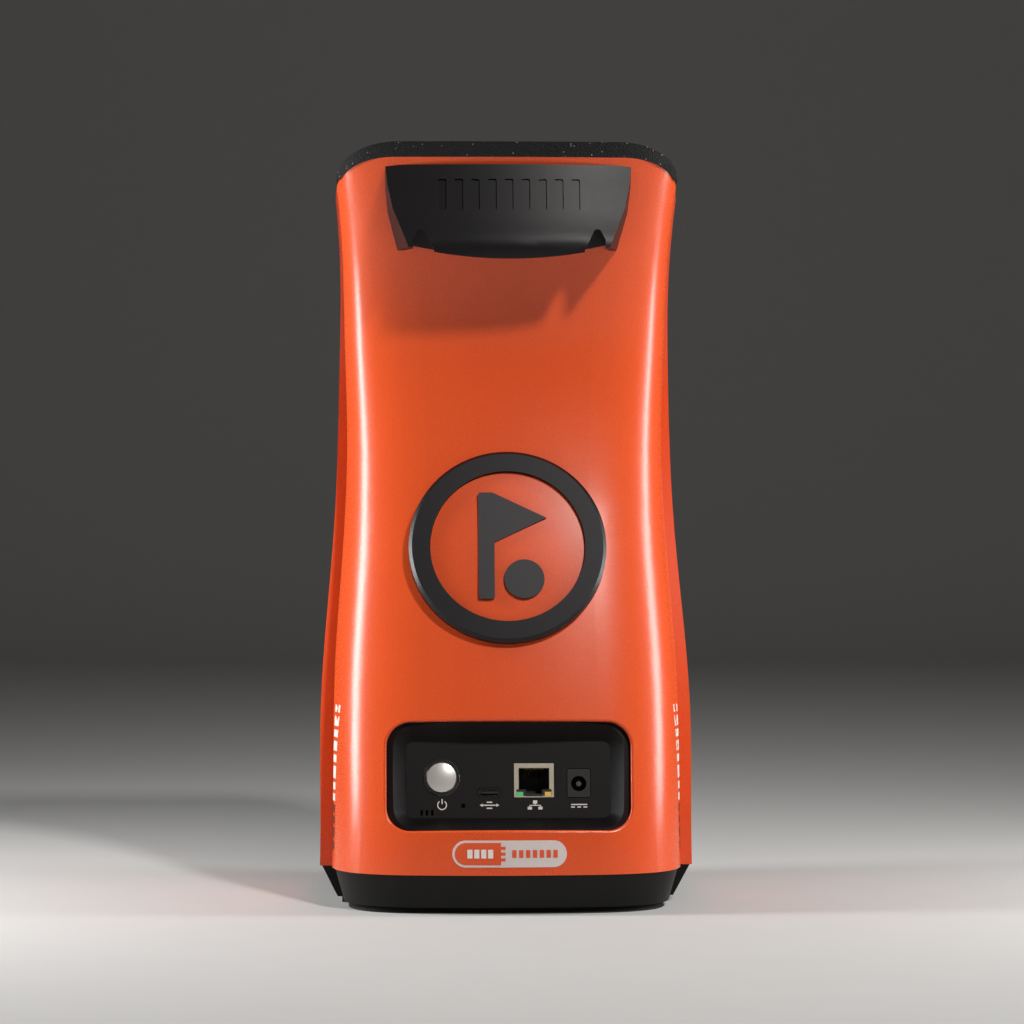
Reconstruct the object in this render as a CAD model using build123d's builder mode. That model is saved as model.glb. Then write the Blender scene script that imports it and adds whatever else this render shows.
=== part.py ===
from build123d import *
import math
import os

os.makedirs("parts", exist_ok=True)

# Golf launch monitor. Millimetres. +X right as seen from behind, -Y rear (ports and
# grip), +Y front (camera window and display), +Z up, ground at z = 0.

# ---- overall ----
BASE_TOP = 15.7
SHELL_TOP = 298.8
PAD_TOP = 305.0
WALL = 2.6
REACH = 100.0
LOFT_TOP = 312.0

# ---- rear half of the body: height, half width, rearmost y, corner width, corner depth ----
REAR_STATIONS = [
    (0, 70.0, -63.4, 34, 38),
    (35, 69.9, -62.0, 34, 38),
    (62, 69.8, -58.0, 34, 37),
    (95, 69.3, -50.7, 34, 36),
    (130, 67.1, -41.5, 33, 34),
    (165, 65.0, -31.7, 32, 31),
    (205, 64.8, -25.6, 31, 28),
    (240, 65.7, -28.0, 30, 25),
    (265, 66.4, -36.5, 29, 23),
    (290, 68.5, -48.0, 27, 22),
    (LOFT_TOP, 69.6, -58.0, 26, 21),
]
REAR_CROWN = 2.2
REAR_LIMIT = 20.0

# ---- front half of the body: height, half width, frontmost y, corner radius ----
FRONT_STATIONS = [
    (0, 75.2, 63.3, 16),
    (40, 75.0, 63.5, 16),
    (85, 74.7, 63.5, 16),
    (120, 72.3, 63.4, 16),
    (155, 69.6, 62.6, 15),
    (190, 68.2, 59.5, 14),
    (225, 67.4, 52.7, 13),
    (262, 67.3, 45.5, 13),
    (LOFT_TOP, 69.2, 35.8, 13),
]
FRONT_LIMIT = -44.0

# ---- line where the two halves meet, seen from the side: height, y ----
SEAM = [(-2, -23.5), (45, -22), (88, -16), (142, -3.5), (204, 5), (240, 0), (280, -18), (314, -35)]
SEAM_HALF_GAP = 0.3
GASKET_SET_BACK = 0.5
SPIGOT_LENGTH = 3.0
SPIGOT_GAP = 0.15
SPIGOT_WALL = 1.4

# ---- rounded top corners of the body, seen from behind ----
CORNER_X = 46.0
CORNER_Z = 286.5
CORNER_RX = 22.6
CORNER_RZ = SHELL_TOP - CORNER_Z
FLARE = 9.0
FLARE_Z = 200.0

# ---- top pad ----
PAD_EDGE_Z = 291.0
PAD_CORNER_X = 44.0
PAD_HALF = 68.4
PAD_REAR = -52.2
PAD_FRONT = 37.8
PAD_ROUND = 2.6
PAD_SKIRT = 0.8

# ---- base ----
BASE_BOTTOM = 2.5
BASE_TOP_INSET = 0.8
BASE_BOTTOM_INSET = 4.6
BASE_WALL = 2.4
BASE_REAR_HALF = 70.0
BASE_REAR_Y = -63.4
BASE_CORNER_W = 34.0
BASE_CORNER_D = 38.0
BASE_FRONT_HALF = 75.1
BASE_FRONT_Y = 63.3
BASE_SHOULDER_Y = -23.6
BASE_FRONT_R = 16.0
BASE_FRONT_DRAFT = 2.4
BASE_FLOOR = 5.5
FOOT_INSET = 6.4
BASE_SCREWS = [(51, -43), (62, 2), (62, 42)]
BOSS_R = 5.0
BOSS_TOP = 33.0
BOSS_RIB_T = 3.0
REAR_RIB_L = 20.0
REAR_RIB_SHIFT = 1.1
FRONT_RIB_L = 16.0
FRONT_RIB_SHIFT = 1.13
SCREW_R = 1.75
SCREW_CLEAR_R = 2.0
SCREW_HEAD_R = 3.2
SCREW_HEAD_H = 2.2
HEAD_POCKET_R = 3.6
HEAD_POCKET_TOP = 8.0
BASE_SCREW_TIP = 29.0

# ---- port recess, set out on its own tilted floor ----
PORT_TILT = 10.0
PORT_Y = -46.5
PORT_Z = 52.0
PORT_FLOOR_W = 81.2
PORT_FLOOR_H = 30.4
PORT_FLOOR_R = 3.0
PORT_OPEN_W = 96.6
PORT_OPEN_H = 43.0
PORT_OPEN_R = 9.5
PORT_OPEN_V = 0.6
PORT_LIP_R = 0.9
PORT_DRAFT_DEPTH = 8.5
PANEL_T = 2.0
PANEL_FLANGE = 4.0
PANEL_GASKET = 0.6
BOARD_TOP_V = -7.0
BOARD_T = 1.6

# ---- badge ----
BADGE_Z = 144.0
BADGE_Y = -37.7
BADGE_TILT = 16.5
BADGE_R = 39.5
BADGE_INNER_R = 31.0
BADGE_RISE = 3.4
BADGE_BEVEL = 1.3

# ---- grip hood ----
HOOD_TOP = 295.8
HOOD_LOW_HALF = 41.3
HOOD_LOW_Z = 263.0
HOOD_LIP_Z = 258.0
HOOD_WALL = 2.4

# ---- front fascia ----
FASCIA_INSET = 0.8
FASCIA_T = 4.0
FASCIA_HALF = 57.0
FASCIA_LOW = 27.0
FASCIA_HIGH = 287.0
FASCIA_R = 12.0
LEDGE = 4.0
WINDOW_W = 100.0
WINDOW_LOW = 38.0
WINDOW_HIGH = 152.0
WINDOW_R = 9.0
GLASS_T = 1.9
SEAL_T = 0.5
SEAL_W = 2.5
SEAT_GAP = 0.15
DISPLAY_TILT = 11.0
DISPLAY_Z = 234.0
DISPLAY_Y = 50.95
DISPLAY_W = 98.0
DISPLAY_H = 78.0
DISPLAY_R = 6.0

# ---- inner frame ----
CHASSIS_Y = 14.0
CHASSIS_T = 2.5
CHASSIS_HALF = 52.0
CHASSIS_LOW = 24.0
CHASSIS_HIGH = 282.0
LUG_X = 59.0
LUG_Z = [62.0, 228.0]
LUG_HALF_H = 7.0
LUG_DEPTH = 12.0
RAIL_Y = 30.0
RAIL_T = 4.0
RAIL_LOW = 40.0
RAIL_HIGH = 152.0
CAMERAS = [(-32, 60), (32, 60), (0, 130)]
CAMERA_R = 9.0
STROBES = [(-30, 99), (30, 99)]
STROBE_SIZE = 34.0


# ---- shared shapes ----
def rear_body(inset):
    with BuildPart() as body:
        for z, half, rear, corner_w, corner_d in REAR_STATIONS:
            w = half - inset
            a = half - corner_w
            y = rear + inset
            side_y = rear + corner_d
            slope = 2 * math.atan(REAR_CROWN / a)
            with BuildSketch(Plane.XY.offset(z)):
                with BuildLine():
                    ThreePointArc((-a, y + REAR_CROWN), (0, y), (a, y + REAR_CROWN))
                    Spline(
                        (a, y + REAR_CROWN),
                        (w, side_y),
                        tangents=[(math.cos(slope), math.sin(slope)), (0, 1)],
                    )
                    Polyline((w, side_y), (w, REAR_LIMIT), (-w, REAR_LIMIT), (-w, side_y))
                    Spline(
                        (-w, side_y),
                        (-a, y + REAR_CROWN),
                        tangents=[(0, -1), (math.cos(slope), -math.sin(slope))],
                    )
                make_face()
        loft()
    return body.part


def front_body(inset):
    with BuildPart() as body:
        for z, half, front, corner in FRONT_STATIONS:
            w = half - inset
            y = front - inset
            r = corner - inset
            with BuildSketch(Plane.XY.offset(z)):
                with BuildLine():
                    Polyline((-w, y - r), (-w, FRONT_LIMIT), (w, FRONT_LIMIT), (w, y - r))
                    CenterArc((w - r, y - r), r, 0, 90)
                    Line((w - r, y), (-w + r, y))
                    CenterArc((-w + r, y - r), r, 90, 90)
                make_face()
        loft()
    return body.part


def silhouette(inset, bottom):
    side = CORNER_X + CORNER_RX - inset
    out = side + FLARE
    with BuildPart() as region:
        with BuildSketch(Plane.XZ):
            with BuildLine():
                Polyline(
                    (side, CORNER_Z),
                    (out, FLARE_Z),
                    (out, bottom),
                    (-out, bottom),
                    (-out, FLARE_Z),
                    (-side, CORNER_Z),
                )
                EllipticalCenterArc((CORNER_X, CORNER_Z), CORNER_RX - inset, CORNER_RZ - inset, 0, arc_size=90)
                Line((CORNER_X, SHELL_TOP - inset), (-CORNER_X, SHELL_TOP - inset))
                EllipticalCenterArc((-CORNER_X, CORNER_Z), CORNER_RX - inset, CORNER_RZ - inset, 90, arc_size=90)
            make_face()
        extrude(amount=REACH, both=True)
    return region.part


def seam_side(shift, toward):
    with BuildPart() as region:
        with BuildSketch(Plane.YZ):
            with BuildLine():
                Spline(*[(y + shift, z) for z, y in SEAM])
                Polyline(
                    (SEAM[-1][1] + shift, SEAM[-1][0]),
                    (toward * REACH, SEAM[-1][0]),
                    (toward * REACH, SEAM[0][0]),
                    (SEAM[0][1] + shift, SEAM[0][0]),
                )
            make_face()
        extrude(amount=REACH, both=True)
    return region.part


def plan_slab(half, rear, corner_w, corner_d, front, corner, inset, z):
    w = half - inset
    a = half - corner_w
    y = rear + inset
    slope = 2 * math.atan(REAR_CROWN / a)
    tip = front - inset
    r = corner - inset
    with BuildSketch(Plane.XY.offset(z)) as sketch:
        with BuildLine():
            ThreePointArc((-a, y + REAR_CROWN), (0, y), (a, y + REAR_CROWN))
            Spline(
                (a, y + REAR_CROWN),
                (w, rear + corner_d),
                tangents=[(math.cos(slope), math.sin(slope)), (0, 1)],
            )
            Line((w, rear + corner_d), (w, tip - r))
            CenterArc((w - r, tip - r), r, 0, 90)
            Line((w - r, tip), (-w + r, tip))
            CenterArc((-w + r, tip - r), r, 90, 90)
            Line((-w, tip - r), (-w, rear + corner_d))
            Spline(
                (-w, rear + corner_d),
                (-a, y + REAR_CROWN),
                tangents=[(0, -1), (math.cos(slope), -math.sin(slope))],
            )
        make_face()
    return sketch.sketch


def base_solid(low_inset, high_inset, low, high):
    low_front = low_inset + BASE_FRONT_DRAFT
    with BuildPart() as solid:
        for level, inset in ((low, low_inset), (high, high_inset)):
            with BuildSketch(Plane.XY.offset(level)):
                add(plan_slab(BASE_REAR_HALF, BASE_REAR_Y, BASE_CORNER_W, BASE_CORNER_D, 0, 1 + inset, inset, 0))
        loft()
        for level, inset in ((low, low_front), (high, high_inset)):
            half = BASE_FRONT_HALF - inset
            back = BASE_SHOULDER_Y + inset
            front = BASE_FRONT_Y - inset
            r = BASE_FRONT_R - inset
            with BuildSketch(Plane.XY.offset(level)):
                with BuildLine():
                    Polyline((-half, front - r), (-half, back), (half, back), (half, front - r))
                    CenterArc((half - r, front - r), r, 0, 90)
                    Line((half - r, front), (-half + r, front))
                    CenterArc((-half + r, front - r), r, 90, 90)
                make_face()
        loft()
    return solid.part


def box_between(x0, x1, y0, y1, z0, z1):
    with BuildPart() as block:
        with Locations(((x0 + x1) / 2, (y0 + y1) / 2, (z0 + z1) / 2)):
            Box(x1 - x0, y1 - y0, z1 - z0)
    return block.part


def fascia_prism(grow, y0=-10.0):
    half = FASCIA_HALF + grow
    with BuildPart() as prism:
        with BuildSketch(Plane.XZ.offset(-y0)):
            with Locations((0, (FASCIA_LOW + FASCIA_HIGH) / 2)):
                RectangleRounded(2 * half, FASCIA_HIGH - FASCIA_LOW + 2 * grow, FASCIA_R + grow)
        extrude(amount=-REACH)
    return prism.part


def window_prism(grow, y0, y1):
    with BuildPart() as prism:
        with BuildSketch(Plane.XZ.offset(-y0)):
            with Locations((0, (WINDOW_LOW + WINDOW_HIGH) / 2)):
                RectangleRounded(WINDOW_W + 2 * grow, WINDOW_HIGH - WINDOW_LOW + 2 * grow, WINDOW_R + grow)
        extrude(amount=-(y1 - y0))
    return prism.part


def display_prism(grow, n0, n1):
    with BuildPart() as prism:
        with BuildSketch(DISPLAY.offset(n0)):
            RectangleRounded(DISPLAY_W + 2 * grow, DISPLAY_H + 2 * grow, DISPLAY_R + grow)
        extrude(amount=n1 - n0)
    return prism.part


def port_box(u0, u1, v0, v1, n0, n1):
    with BuildPart() as block:
        with BuildSketch(PORT.offset(n0)):
            with Locations(((u0 + u1) / 2, (v0 + v1) / 2)):
                Rectangle(u1 - u0, v1 - v0)
        extrude(amount=n1 - n0)
    return block.part


def port_round(u, v, radius, n0, n1):
    with BuildPart() as rod:
        with BuildSketch(PORT.offset(n0)):
            with Locations((u, v)):
                Circle(radius)
        extrude(amount=n1 - n0)
    return rod.part


def port_slab(width, height, radius, v, n0, n1):
    with BuildPart() as slab:
        with BuildSketch(PORT.offset(n0)):
            with Locations((0, v)):
                RectangleRounded(width, height, radius)
        extrude(amount=n1 - n0)
    return slab.part


def port_tub(grow, start):
    with BuildPart() as tub:
        with BuildSketch(PORT.offset(start)):
            RectangleRounded(PORT_FLOOR_W + 2 * grow, PORT_FLOOR_H + 2 * grow, PORT_FLOOR_R + grow)
        with BuildSketch(PORT.offset(PORT_DRAFT_DEPTH)):
            with Locations((0, PORT_OPEN_V)):
                RectangleRounded(PORT_OPEN_W + 2 * grow, PORT_OPEN_H + 2 * grow, PORT_OPEN_R + grow)
        loft()
        with BuildSketch(PORT.offset(PORT_DRAFT_DEPTH)):
            with Locations((0, PORT_OPEN_V)):
                RectangleRounded(PORT_OPEN_W + 2 * grow, PORT_OPEN_H + 2 * grow, PORT_OPEN_R + grow)
        extrude(amount=REACH / 4)
    return tub.part


def badge_round(radius, n0, n1):
    with BuildPart() as rod:
        with BuildSketch(BADGE.offset(n0)):
            Circle(radius)
        extrude(amount=n1 - n0)
    return rod.part


PORT = Plane(
    origin=(0, PORT_Y, PORT_Z),
    x_dir=(1, 0, 0),
    z_dir=(0, -math.cos(math.radians(PORT_TILT)), math.sin(math.radians(PORT_TILT))),
)
BADGE = Plane(
    origin=(0, BADGE_Y, BADGE_Z),
    x_dir=(1, 0, 0),
    z_dir=(0, -math.cos(math.radians(BADGE_TILT)), math.sin(math.radians(BADGE_TILT))),
)
DISPLAY = Plane(
    origin=(0, DISPLAY_Y, DISPLAY_Z),
    x_dir=(-1, 0, 0),
    z_dir=(0, math.cos(math.radians(DISPLAY_TILT)), math.sin(math.radians(DISPLAY_TILT))),
)

rear_outer = rear_body(0)
rear_skin = rear_body(WALL)
front_outer = front_body(0)
outline_outer = silhouette(0, BASE_TOP)
outline_inner = silhouette(WALL, 0)
spigot_set_in = WALL + SPIGOT_GAP

# ---- rear shell ----
TOP_TABS = [-22.0, 22.0]
TAB_Y = -34.0
TAB_HALF = 7.0
TAB_BACK = -40.0
TAB_FRONT = -22.0
TAB_LOW = 288.0
TAB_SINK = 1.6
base_boss_rear = [(side * x, y) for x, y in BASE_SCREWS[:1] for side in (-1, 1)]
base_boss_front = [(side * x, y) for x, y in BASE_SCREWS[1:] for side in (-1, 1)]
HOOD_SCREWS = [(-38.0, 288.5), (0.0, 288.5), (38.0, 288.5)]
HOOD_PAD_Y = -36.0
HOOD_BOSS_R = 3.8
HOOD_PILOT_END = 49.0
HOOD_SCREW_L = 12.5

with BuildPart() as rear_cavity:
    add(rear_skin)
    add(outline_inner, mode=Mode.INTERSECT)

with BuildPart() as rear_bosses:
    with BuildSketch(Plane.XY.offset(BASE_TOP)):
        with Locations(*base_boss_rear):
            Circle(BOSS_R)
    extrude(amount=BOSS_TOP - BASE_TOP)
    for x, y in base_boss_rear:
        with BuildSketch(Plane.XY.offset(BASE_TOP)):
            with Locations(Location((x * REAR_RIB_SHIFT, y * REAR_RIB_SHIFT), math.copysign(45, -x))):
                Rectangle(REAR_RIB_L, BOSS_RIB_T)
        extrude(amount=BOSS_TOP - BASE_TOP)
    with BuildSketch(Plane.XZ.offset(-HOOD_PAD_Y)):
        with Locations(*HOOD_SCREWS):
            Circle(HOOD_BOSS_R + 0.8)
    extrude(amount=REACH / 4)
    add(rear_outer, mode=Mode.INTERSECT)
    add(outline_outer, mode=Mode.INTERSECT)

with BuildPart() as rear_block:
    add(rear_outer)
    add(port_slab(PORT_OPEN_W, PORT_OPEN_H, PORT_OPEN_R, PORT_OPEN_V, 0, REACH / 4), mode=Mode.SUBTRACT)
    rim = [
        edge
        for edge in rear_block.edges().filter_by(GeomType.LINE, reverse=True)
        if abs(edge.center().X) < PORT_OPEN_W / 2 + 1
        and BASE_TOP < edge.center().Z < PORT_Z + PORT_OPEN_H
        and PORT.to_local_coords(edge.center()).Z > 3
    ]
    fillet(rim, PORT_LIP_R)

with BuildPart() as rear_shell:
    add(rear_block.part)
    add(outline_outer, mode=Mode.INTERSECT)
    add(seam_side(-SEAM_HALF_GAP, 1), mode=Mode.SUBTRACT)
    add(rear_cavity.part, mode=Mode.SUBTRACT)
    add(rear_bosses.part)
    with BuildSketch(Plane.XY.offset(BASE_TOP)):
        with Locations(*base_boss_rear):
            Circle(SCREW_R)
    extrude(amount=BASE_SCREW_TIP + 0.5 - BASE_TOP, mode=Mode.SUBTRACT)
    with BuildSketch(Plane.XZ.offset(-HOOD_PAD_Y)):
        with Locations(*HOOD_SCREWS):
            Circle(SCREW_CLEAR_R)
    extrude(amount=REACH / 4, mode=Mode.SUBTRACT)
    with BuildSketch(Plane.XY.offset(SHELL_TOP)):
        with Locations(*[(tab_x, TAB_Y) for tab_x in TOP_TABS]):
            Circle(SCREW_CLEAR_R)
    extrude(amount=-WALL, mode=Mode.SUBTRACT)
    with BuildSketch(Plane.XY.offset(SHELL_TOP)):
        with Locations(*[(tab_x, TAB_Y) for tab_x in TOP_TABS]):
            Circle(SCREW_HEAD_R)
    extrude(amount=-TAB_SINK, mode=Mode.SUBTRACT)
rear_shell.part.label = "rear_shell"
export_step(rear_shell.part, "parts/rear_shell.step")

# ---- front housing ----

with BuildPart() as front_cavity:
    add(front_body(WALL))
    add(outline_inner, mode=Mode.INTERSECT)
    add(seam_side(SEAM_HALF_GAP + WALL, -1), mode=Mode.SUBTRACT)

with BuildPart() as throat:
    add(rear_body(spigot_set_in + SPIGOT_WALL))
    add(silhouette(spigot_set_in + SPIGOT_WALL, 0), mode=Mode.INTERSECT)

with BuildPart() as spigot:
    add(rear_body(spigot_set_in))
    add(silhouette(spigot_set_in, BASE_TOP + 1), mode=Mode.INTERSECT)
    add(seam_side(-SPIGOT_LENGTH, -1), mode=Mode.SUBTRACT)
    add(seam_side(SEAM_HALF_GAP + 1, 1), mode=Mode.SUBTRACT)
    add(throat.part, mode=Mode.SUBTRACT)

with BuildPart() as front_bosses:
    with BuildSketch(Plane.XY.offset(BASE_TOP)):
        with Locations(*base_boss_front):
            Circle(BOSS_R)
        with Locations(*[(x * FRONT_RIB_SHIFT, y) for x, y in base_boss_front]):
            Rectangle(FRONT_RIB_L, BOSS_RIB_T)
    extrude(amount=BOSS_TOP - BASE_TOP)
    for lug_z in LUG_Z:
        for side in (-1, 1):
            with Locations((side * (LUG_X + 6), CHASSIS_Y + CHASSIS_T + LUG_DEPTH / 2, lug_z)):
                Box(24, LUG_DEPTH, 2 * LUG_HALF_H)
    add(front_outer, mode=Mode.INTERSECT)

with BuildPart() as top_tabs:
    for tab_x in TOP_TABS:
        with Locations((tab_x, (TAB_BACK + TAB_FRONT) / 2, (TAB_LOW + SHELL_TOP - spigot_set_in) / 2)):
            Box(2 * TAB_HALF, TAB_FRONT - TAB_BACK, SHELL_TOP - spigot_set_in - TAB_LOW)

with BuildPart() as fascia_frame:
    add(front_body(WALL - 0.2))
    add(front_body(FASCIA_INSET + FASCIA_T + 2), mode=Mode.SUBTRACT)
    add(fascia_prism(2.5), mode=Mode.INTERSECT)
    add(fascia_prism(-LEDGE), mode=Mode.SUBTRACT)

with BuildPart() as fascia_pocket:
    add(fascia_prism(0))
    add(front_body(FASCIA_INSET + FASCIA_T), mode=Mode.SUBTRACT)

with BuildPart() as front_housing:
    add(front_outer)
    add(outline_outer, mode=Mode.INTERSECT)
    add(seam_side(SEAM_HALF_GAP, -1), mode=Mode.SUBTRACT)
    add(front_cavity.part, mode=Mode.SUBTRACT)
    add(throat.part, mode=Mode.SUBTRACT)
    add(spigot.part)
    add(top_tabs.part)
    add(front_bosses.part)
    add(fascia_frame.part)
    add(fascia_pocket.part, mode=Mode.SUBTRACT)
    with BuildSketch(Plane.XY.offset(BASE_TOP)):
        with Locations(*base_boss_front):
            Circle(SCREW_R)
    extrude(amount=BASE_SCREW_TIP + 0.5 - BASE_TOP, mode=Mode.SUBTRACT)
    with BuildSketch(Plane.XZ.offset(-(CHASSIS_Y + CHASSIS_T))):
        with Locations(*[(side * LUG_X, lug_z) for lug_z in LUG_Z for side in (-1, 1)]):
            Circle(SCREW_R)
    extrude(amount=-(LUG_DEPTH - 2), mode=Mode.SUBTRACT)
    with BuildSketch(Plane.XY.offset(TAB_LOW)):
        with Locations(*[(tab_x, TAB_Y) for tab_x in TOP_TABS]):
            Circle(SCREW_R)
    extrude(amount=SHELL_TOP - spigot_set_in - TAB_LOW, mode=Mode.SUBTRACT)
front_housing.part.label = "front_housing"
export_step(front_housing.part, "parts/front_housing.step")

# ---- seam gasket ----
with BuildPart() as shell_gasket:
    add(rear_body(GASKET_SET_BACK))
    add(silhouette(GASKET_SET_BACK, BASE_TOP), mode=Mode.INTERSECT)
    add(seam_side(-SEAM_HALF_GAP, -1), mode=Mode.SUBTRACT)
    add(seam_side(SEAM_HALF_GAP, 1), mode=Mode.SUBTRACT)
    add(rear_cavity.part, mode=Mode.SUBTRACT)
shell_gasket.part.label = "shell_gasket"
export_step(shell_gasket.part, "parts/shell_gasket.step")

# ---- top pad ----
with BuildPart() as pad_limit:
    add(front_body(-PAD_SKIRT))
    add(seam_side(0, -1), mode=Mode.SUBTRACT)
    add(rear_body(-PAD_SKIRT))

with BuildPart() as top_pad:
    with BuildSketch(Plane.XY.offset(PAD_EDGE_Z)):
        add(plan_slab(PAD_HALF + 2, PAD_REAR, 29, 24, PAD_FRONT, 15, 0, 0))
    extrude(amount=PAD_TOP + 5 - PAD_EDGE_Z)
    with BuildSketch(Plane.XZ):
        with BuildLine():
            Polyline((PAD_HALF, PAD_EDGE_Z), (-PAD_HALF, PAD_EDGE_Z))
            EllipticalCenterArc(
                (-PAD_CORNER_X, PAD_EDGE_Z), PAD_HALF - PAD_CORNER_X, PAD_TOP - PAD_EDGE_Z, 90, arc_size=90
            )
            Line((-PAD_CORNER_X, PAD_TOP), (PAD_CORNER_X, PAD_TOP))
            EllipticalCenterArc(
                (PAD_CORNER_X, PAD_EDGE_Z), PAD_HALF - PAD_CORNER_X, PAD_TOP - PAD_EDGE_Z, 0, arc_size=90
            )
        make_face()
    extrude(amount=REACH, both=True, mode=Mode.INTERSECT)
    with BuildSketch(Plane.YZ):
        with Locations(((PAD_REAR + PAD_FRONT) / 2, PAD_TOP - REACH / 2)):
            RectangleRounded(PAD_FRONT - PAD_REAR + 1.6, REACH, PAD_ROUND)
    extrude(amount=REACH, both=True, mode=Mode.INTERSECT)
    add(pad_limit.part, mode=Mode.INTERSECT)
    add(outline_outer, mode=Mode.SUBTRACT)
top_pad.part.label = "top_pad"
export_step(top_pad.part, "parts/top_pad.step")

# ---- base ----
base_posts = [(side * x, y) for x, y in BASE_SCREWS for side in (-1, 1)]
base_outer = base_solid(BASE_BOTTOM_INSET, BASE_TOP_INSET, BASE_BOTTOM, BASE_TOP)
base_hollow = base_solid(BASE_BOTTOM_INSET + BASE_WALL, BASE_TOP_INSET + BASE_WALL, BASE_BOTTOM, BASE_TOP)
with BuildPart() as base_room:
    add(base_hollow)
    with Locations((0, 0, BASE_FLOOR / 2)):
        Box(2 * REACH, 2 * REACH, BASE_FLOOR, mode=Mode.SUBTRACT)
    with BuildSketch(Plane.XY.offset(BASE_BOTTOM)):
        with Locations(*base_posts):
            Circle(BOSS_R)
    extrude(amount=BASE_TOP - BASE_BOTTOM, mode=Mode.SUBTRACT)
with BuildPart() as base_tray:
    add(base_outer)
    add(base_room.part, mode=Mode.SUBTRACT)
    with BuildSketch(Plane.XY.offset(BASE_BOTTOM)):
        with Locations(*base_posts):
            Circle(SCREW_CLEAR_R)
    extrude(amount=BASE_TOP - BASE_BOTTOM, mode=Mode.SUBTRACT)
    with BuildSketch(Plane.XY.offset(BASE_BOTTOM)):
        with Locations(*base_posts):
            Circle(HEAD_POCKET_R)
    extrude(amount=HEAD_POCKET_TOP - BASE_BOTTOM, mode=Mode.SUBTRACT)
base_tray.part.label = "base_tray"
export_step(base_tray.part, "parts/base_tray.step")

with BuildPart() as foot_pad:
    add(base_solid(FOOT_INSET, FOOT_INSET + BASE_FRONT_DRAFT, 0, BASE_BOTTOM))
    with BuildSketch(Plane.XY):
        with Locations(*base_posts):
            Circle(HEAD_POCKET_R + 0.6)
    extrude(amount=BASE_BOTTOM, mode=Mode.SUBTRACT)
foot_pad.part.label = "foot_pad"
export_step(foot_pad.part, "parts/foot_pad.step")


def screws(plane, places, head_r, head_h, shank_r, length, drive_r):
    with BuildPart() as group:
        with BuildSketch(plane):
            with Locations(*places):
                Circle(shank_r)
        extrude(amount=length)
        with BuildSketch(plane):
            with Locations(*places):
                Circle(head_r)
        extrude(amount=-head_h)
        with BuildSketch(plane.offset(-head_h)):
            with Locations(*places):
                RegularPolygon(drive_r, 6)
        extrude(amount=0.6 * head_h, mode=Mode.SUBTRACT)
    return group.part


with BuildPart() as base_screws:
    base_heads = Plane.XY.offset(HEAD_POCKET_TOP)
    add(screws(base_heads, base_posts, SCREW_HEAD_R, SCREW_HEAD_H, SCREW_R - 0.05, 21, 1.5))
base_screws.part.label = "base_screws"
export_step(base_screws.part, "parts/base_screws.step")

# ---- grip hood ----
HOOD_PROFILE = [
    (-52.6, HOOD_TOP + 0.2),
    (-56.4, 284),
    (-61.2, 270),
    (-63.2, 263.5),
    (-62.8, 260),
    (-60.6, 257),
]
HOOD_AXIS_Y = 170.0
HOOD_HALF_TURN = 30.0
HOOD_SIDES = [(51.2, 303), (50.3, 287.4), (48.7, 277.6), (44.5, 265), (36.5, 241)]
HOOD_SIDE_Y = -33.0
HOOD_DRAFT = 8.0
GRIP_BARS = 9
GRIP_PITCH = 6.6
GRIP_BAR_W = 3.4
GRIP_BAR_H = 12.5
GRIP_BAR_Z = 283.6
GRIP_SINK = 0.8
NOTCH_OUTER = 37.9
NOTCH_TIP = 34.7
NOTCH_INNER = 29.6
NOTCH_SHOULDER_Z = 265.5
NOTCH_TOP = 271.8
NOTCH_R = 1.6


def hood_round(shift):
    turn = math.radians(HOOD_HALF_TURN)
    start_plane = Plane(
        origin=(0, HOOD_AXIS_Y, 0),
        x_dir=(-math.sin(turn), -math.cos(turn), 0),
        z_dir=(-math.cos(turn), math.sin(turn), 0),
    )
    curve = [(HOOD_AXIS_Y - y - shift, z) for y, z in HOOD_PROFILE]
    with BuildPart() as region:
        with BuildSketch(start_plane):
            with BuildLine():
                Spline(*curve)
                Polyline(
                    curve[-1],
                    (curve[-1][0], curve[-1][1] - REACH),
                    (REACH, curve[-1][1] - REACH),
                    (REACH, curve[0][1]),
                    curve[0],
                )
            make_face()
        revolve(axis=Axis((0, HOOD_AXIS_Y, 0), (0, 0, 1)), revolution_arc=2 * HOOD_HALF_TURN)
    return region.part


def hood_edges(inset, low_z, lip_z):
    with BuildPart() as region:
        with BuildSketch(Plane.XZ):
            with BuildLine():
                Polyline(
                    (HOOD_LOW_HALF, low_z),
                    (REACH, low_z),
                    (REACH, HOOD_TOP - inset),
                    (-REACH, HOOD_TOP - inset),
                    (-REACH, low_z),
                    (-HOOD_LOW_HALF, low_z),
                )
                ThreePointArc((-HOOD_LOW_HALF, low_z), (0, lip_z), (HOOD_LOW_HALF, low_z))
            make_face()
        extrude(amount=REACH)
    return region.part


def hood_wedge(inset):
    right = [(x - inset, z) for x, z in HOOD_SIDES]
    left = [(-x, z) for x, z in reversed(right)]
    with BuildPart() as region:
        with BuildSketch(Plane.XZ.offset(-HOOD_SIDE_Y)):
            with BuildLine():
                Polyline(*right, *left, close=True)
            make_face()
        extrude(amount=36, taper=HOOD_DRAFT)
        with BuildSketch(Plane.XZ.offset(-HOOD_SIDE_Y)):
            with BuildLine():
                Polyline(*right, *left, close=True)
            make_face()
        extrude(amount=-8)
    return region.part


with BuildPart() as hood_room:
    add(hood_wedge(HOOD_WALL))
    add(hood_edges(HOOD_WALL, HOOD_LOW_Z - 20, HOOD_LIP_Z - 26), mode=Mode.INTERSECT)
    add(hood_round(HOOD_WALL), mode=Mode.INTERSECT)

with BuildPart() as hood_bosses:
    with BuildSketch(Plane.XZ.offset(30)):
        with Locations(*HOOD_SCREWS):
            Circle(HOOD_BOSS_R)
    extrude(amount=36)
    add(hood_round(0.8), mode=Mode.INTERSECT)

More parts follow.
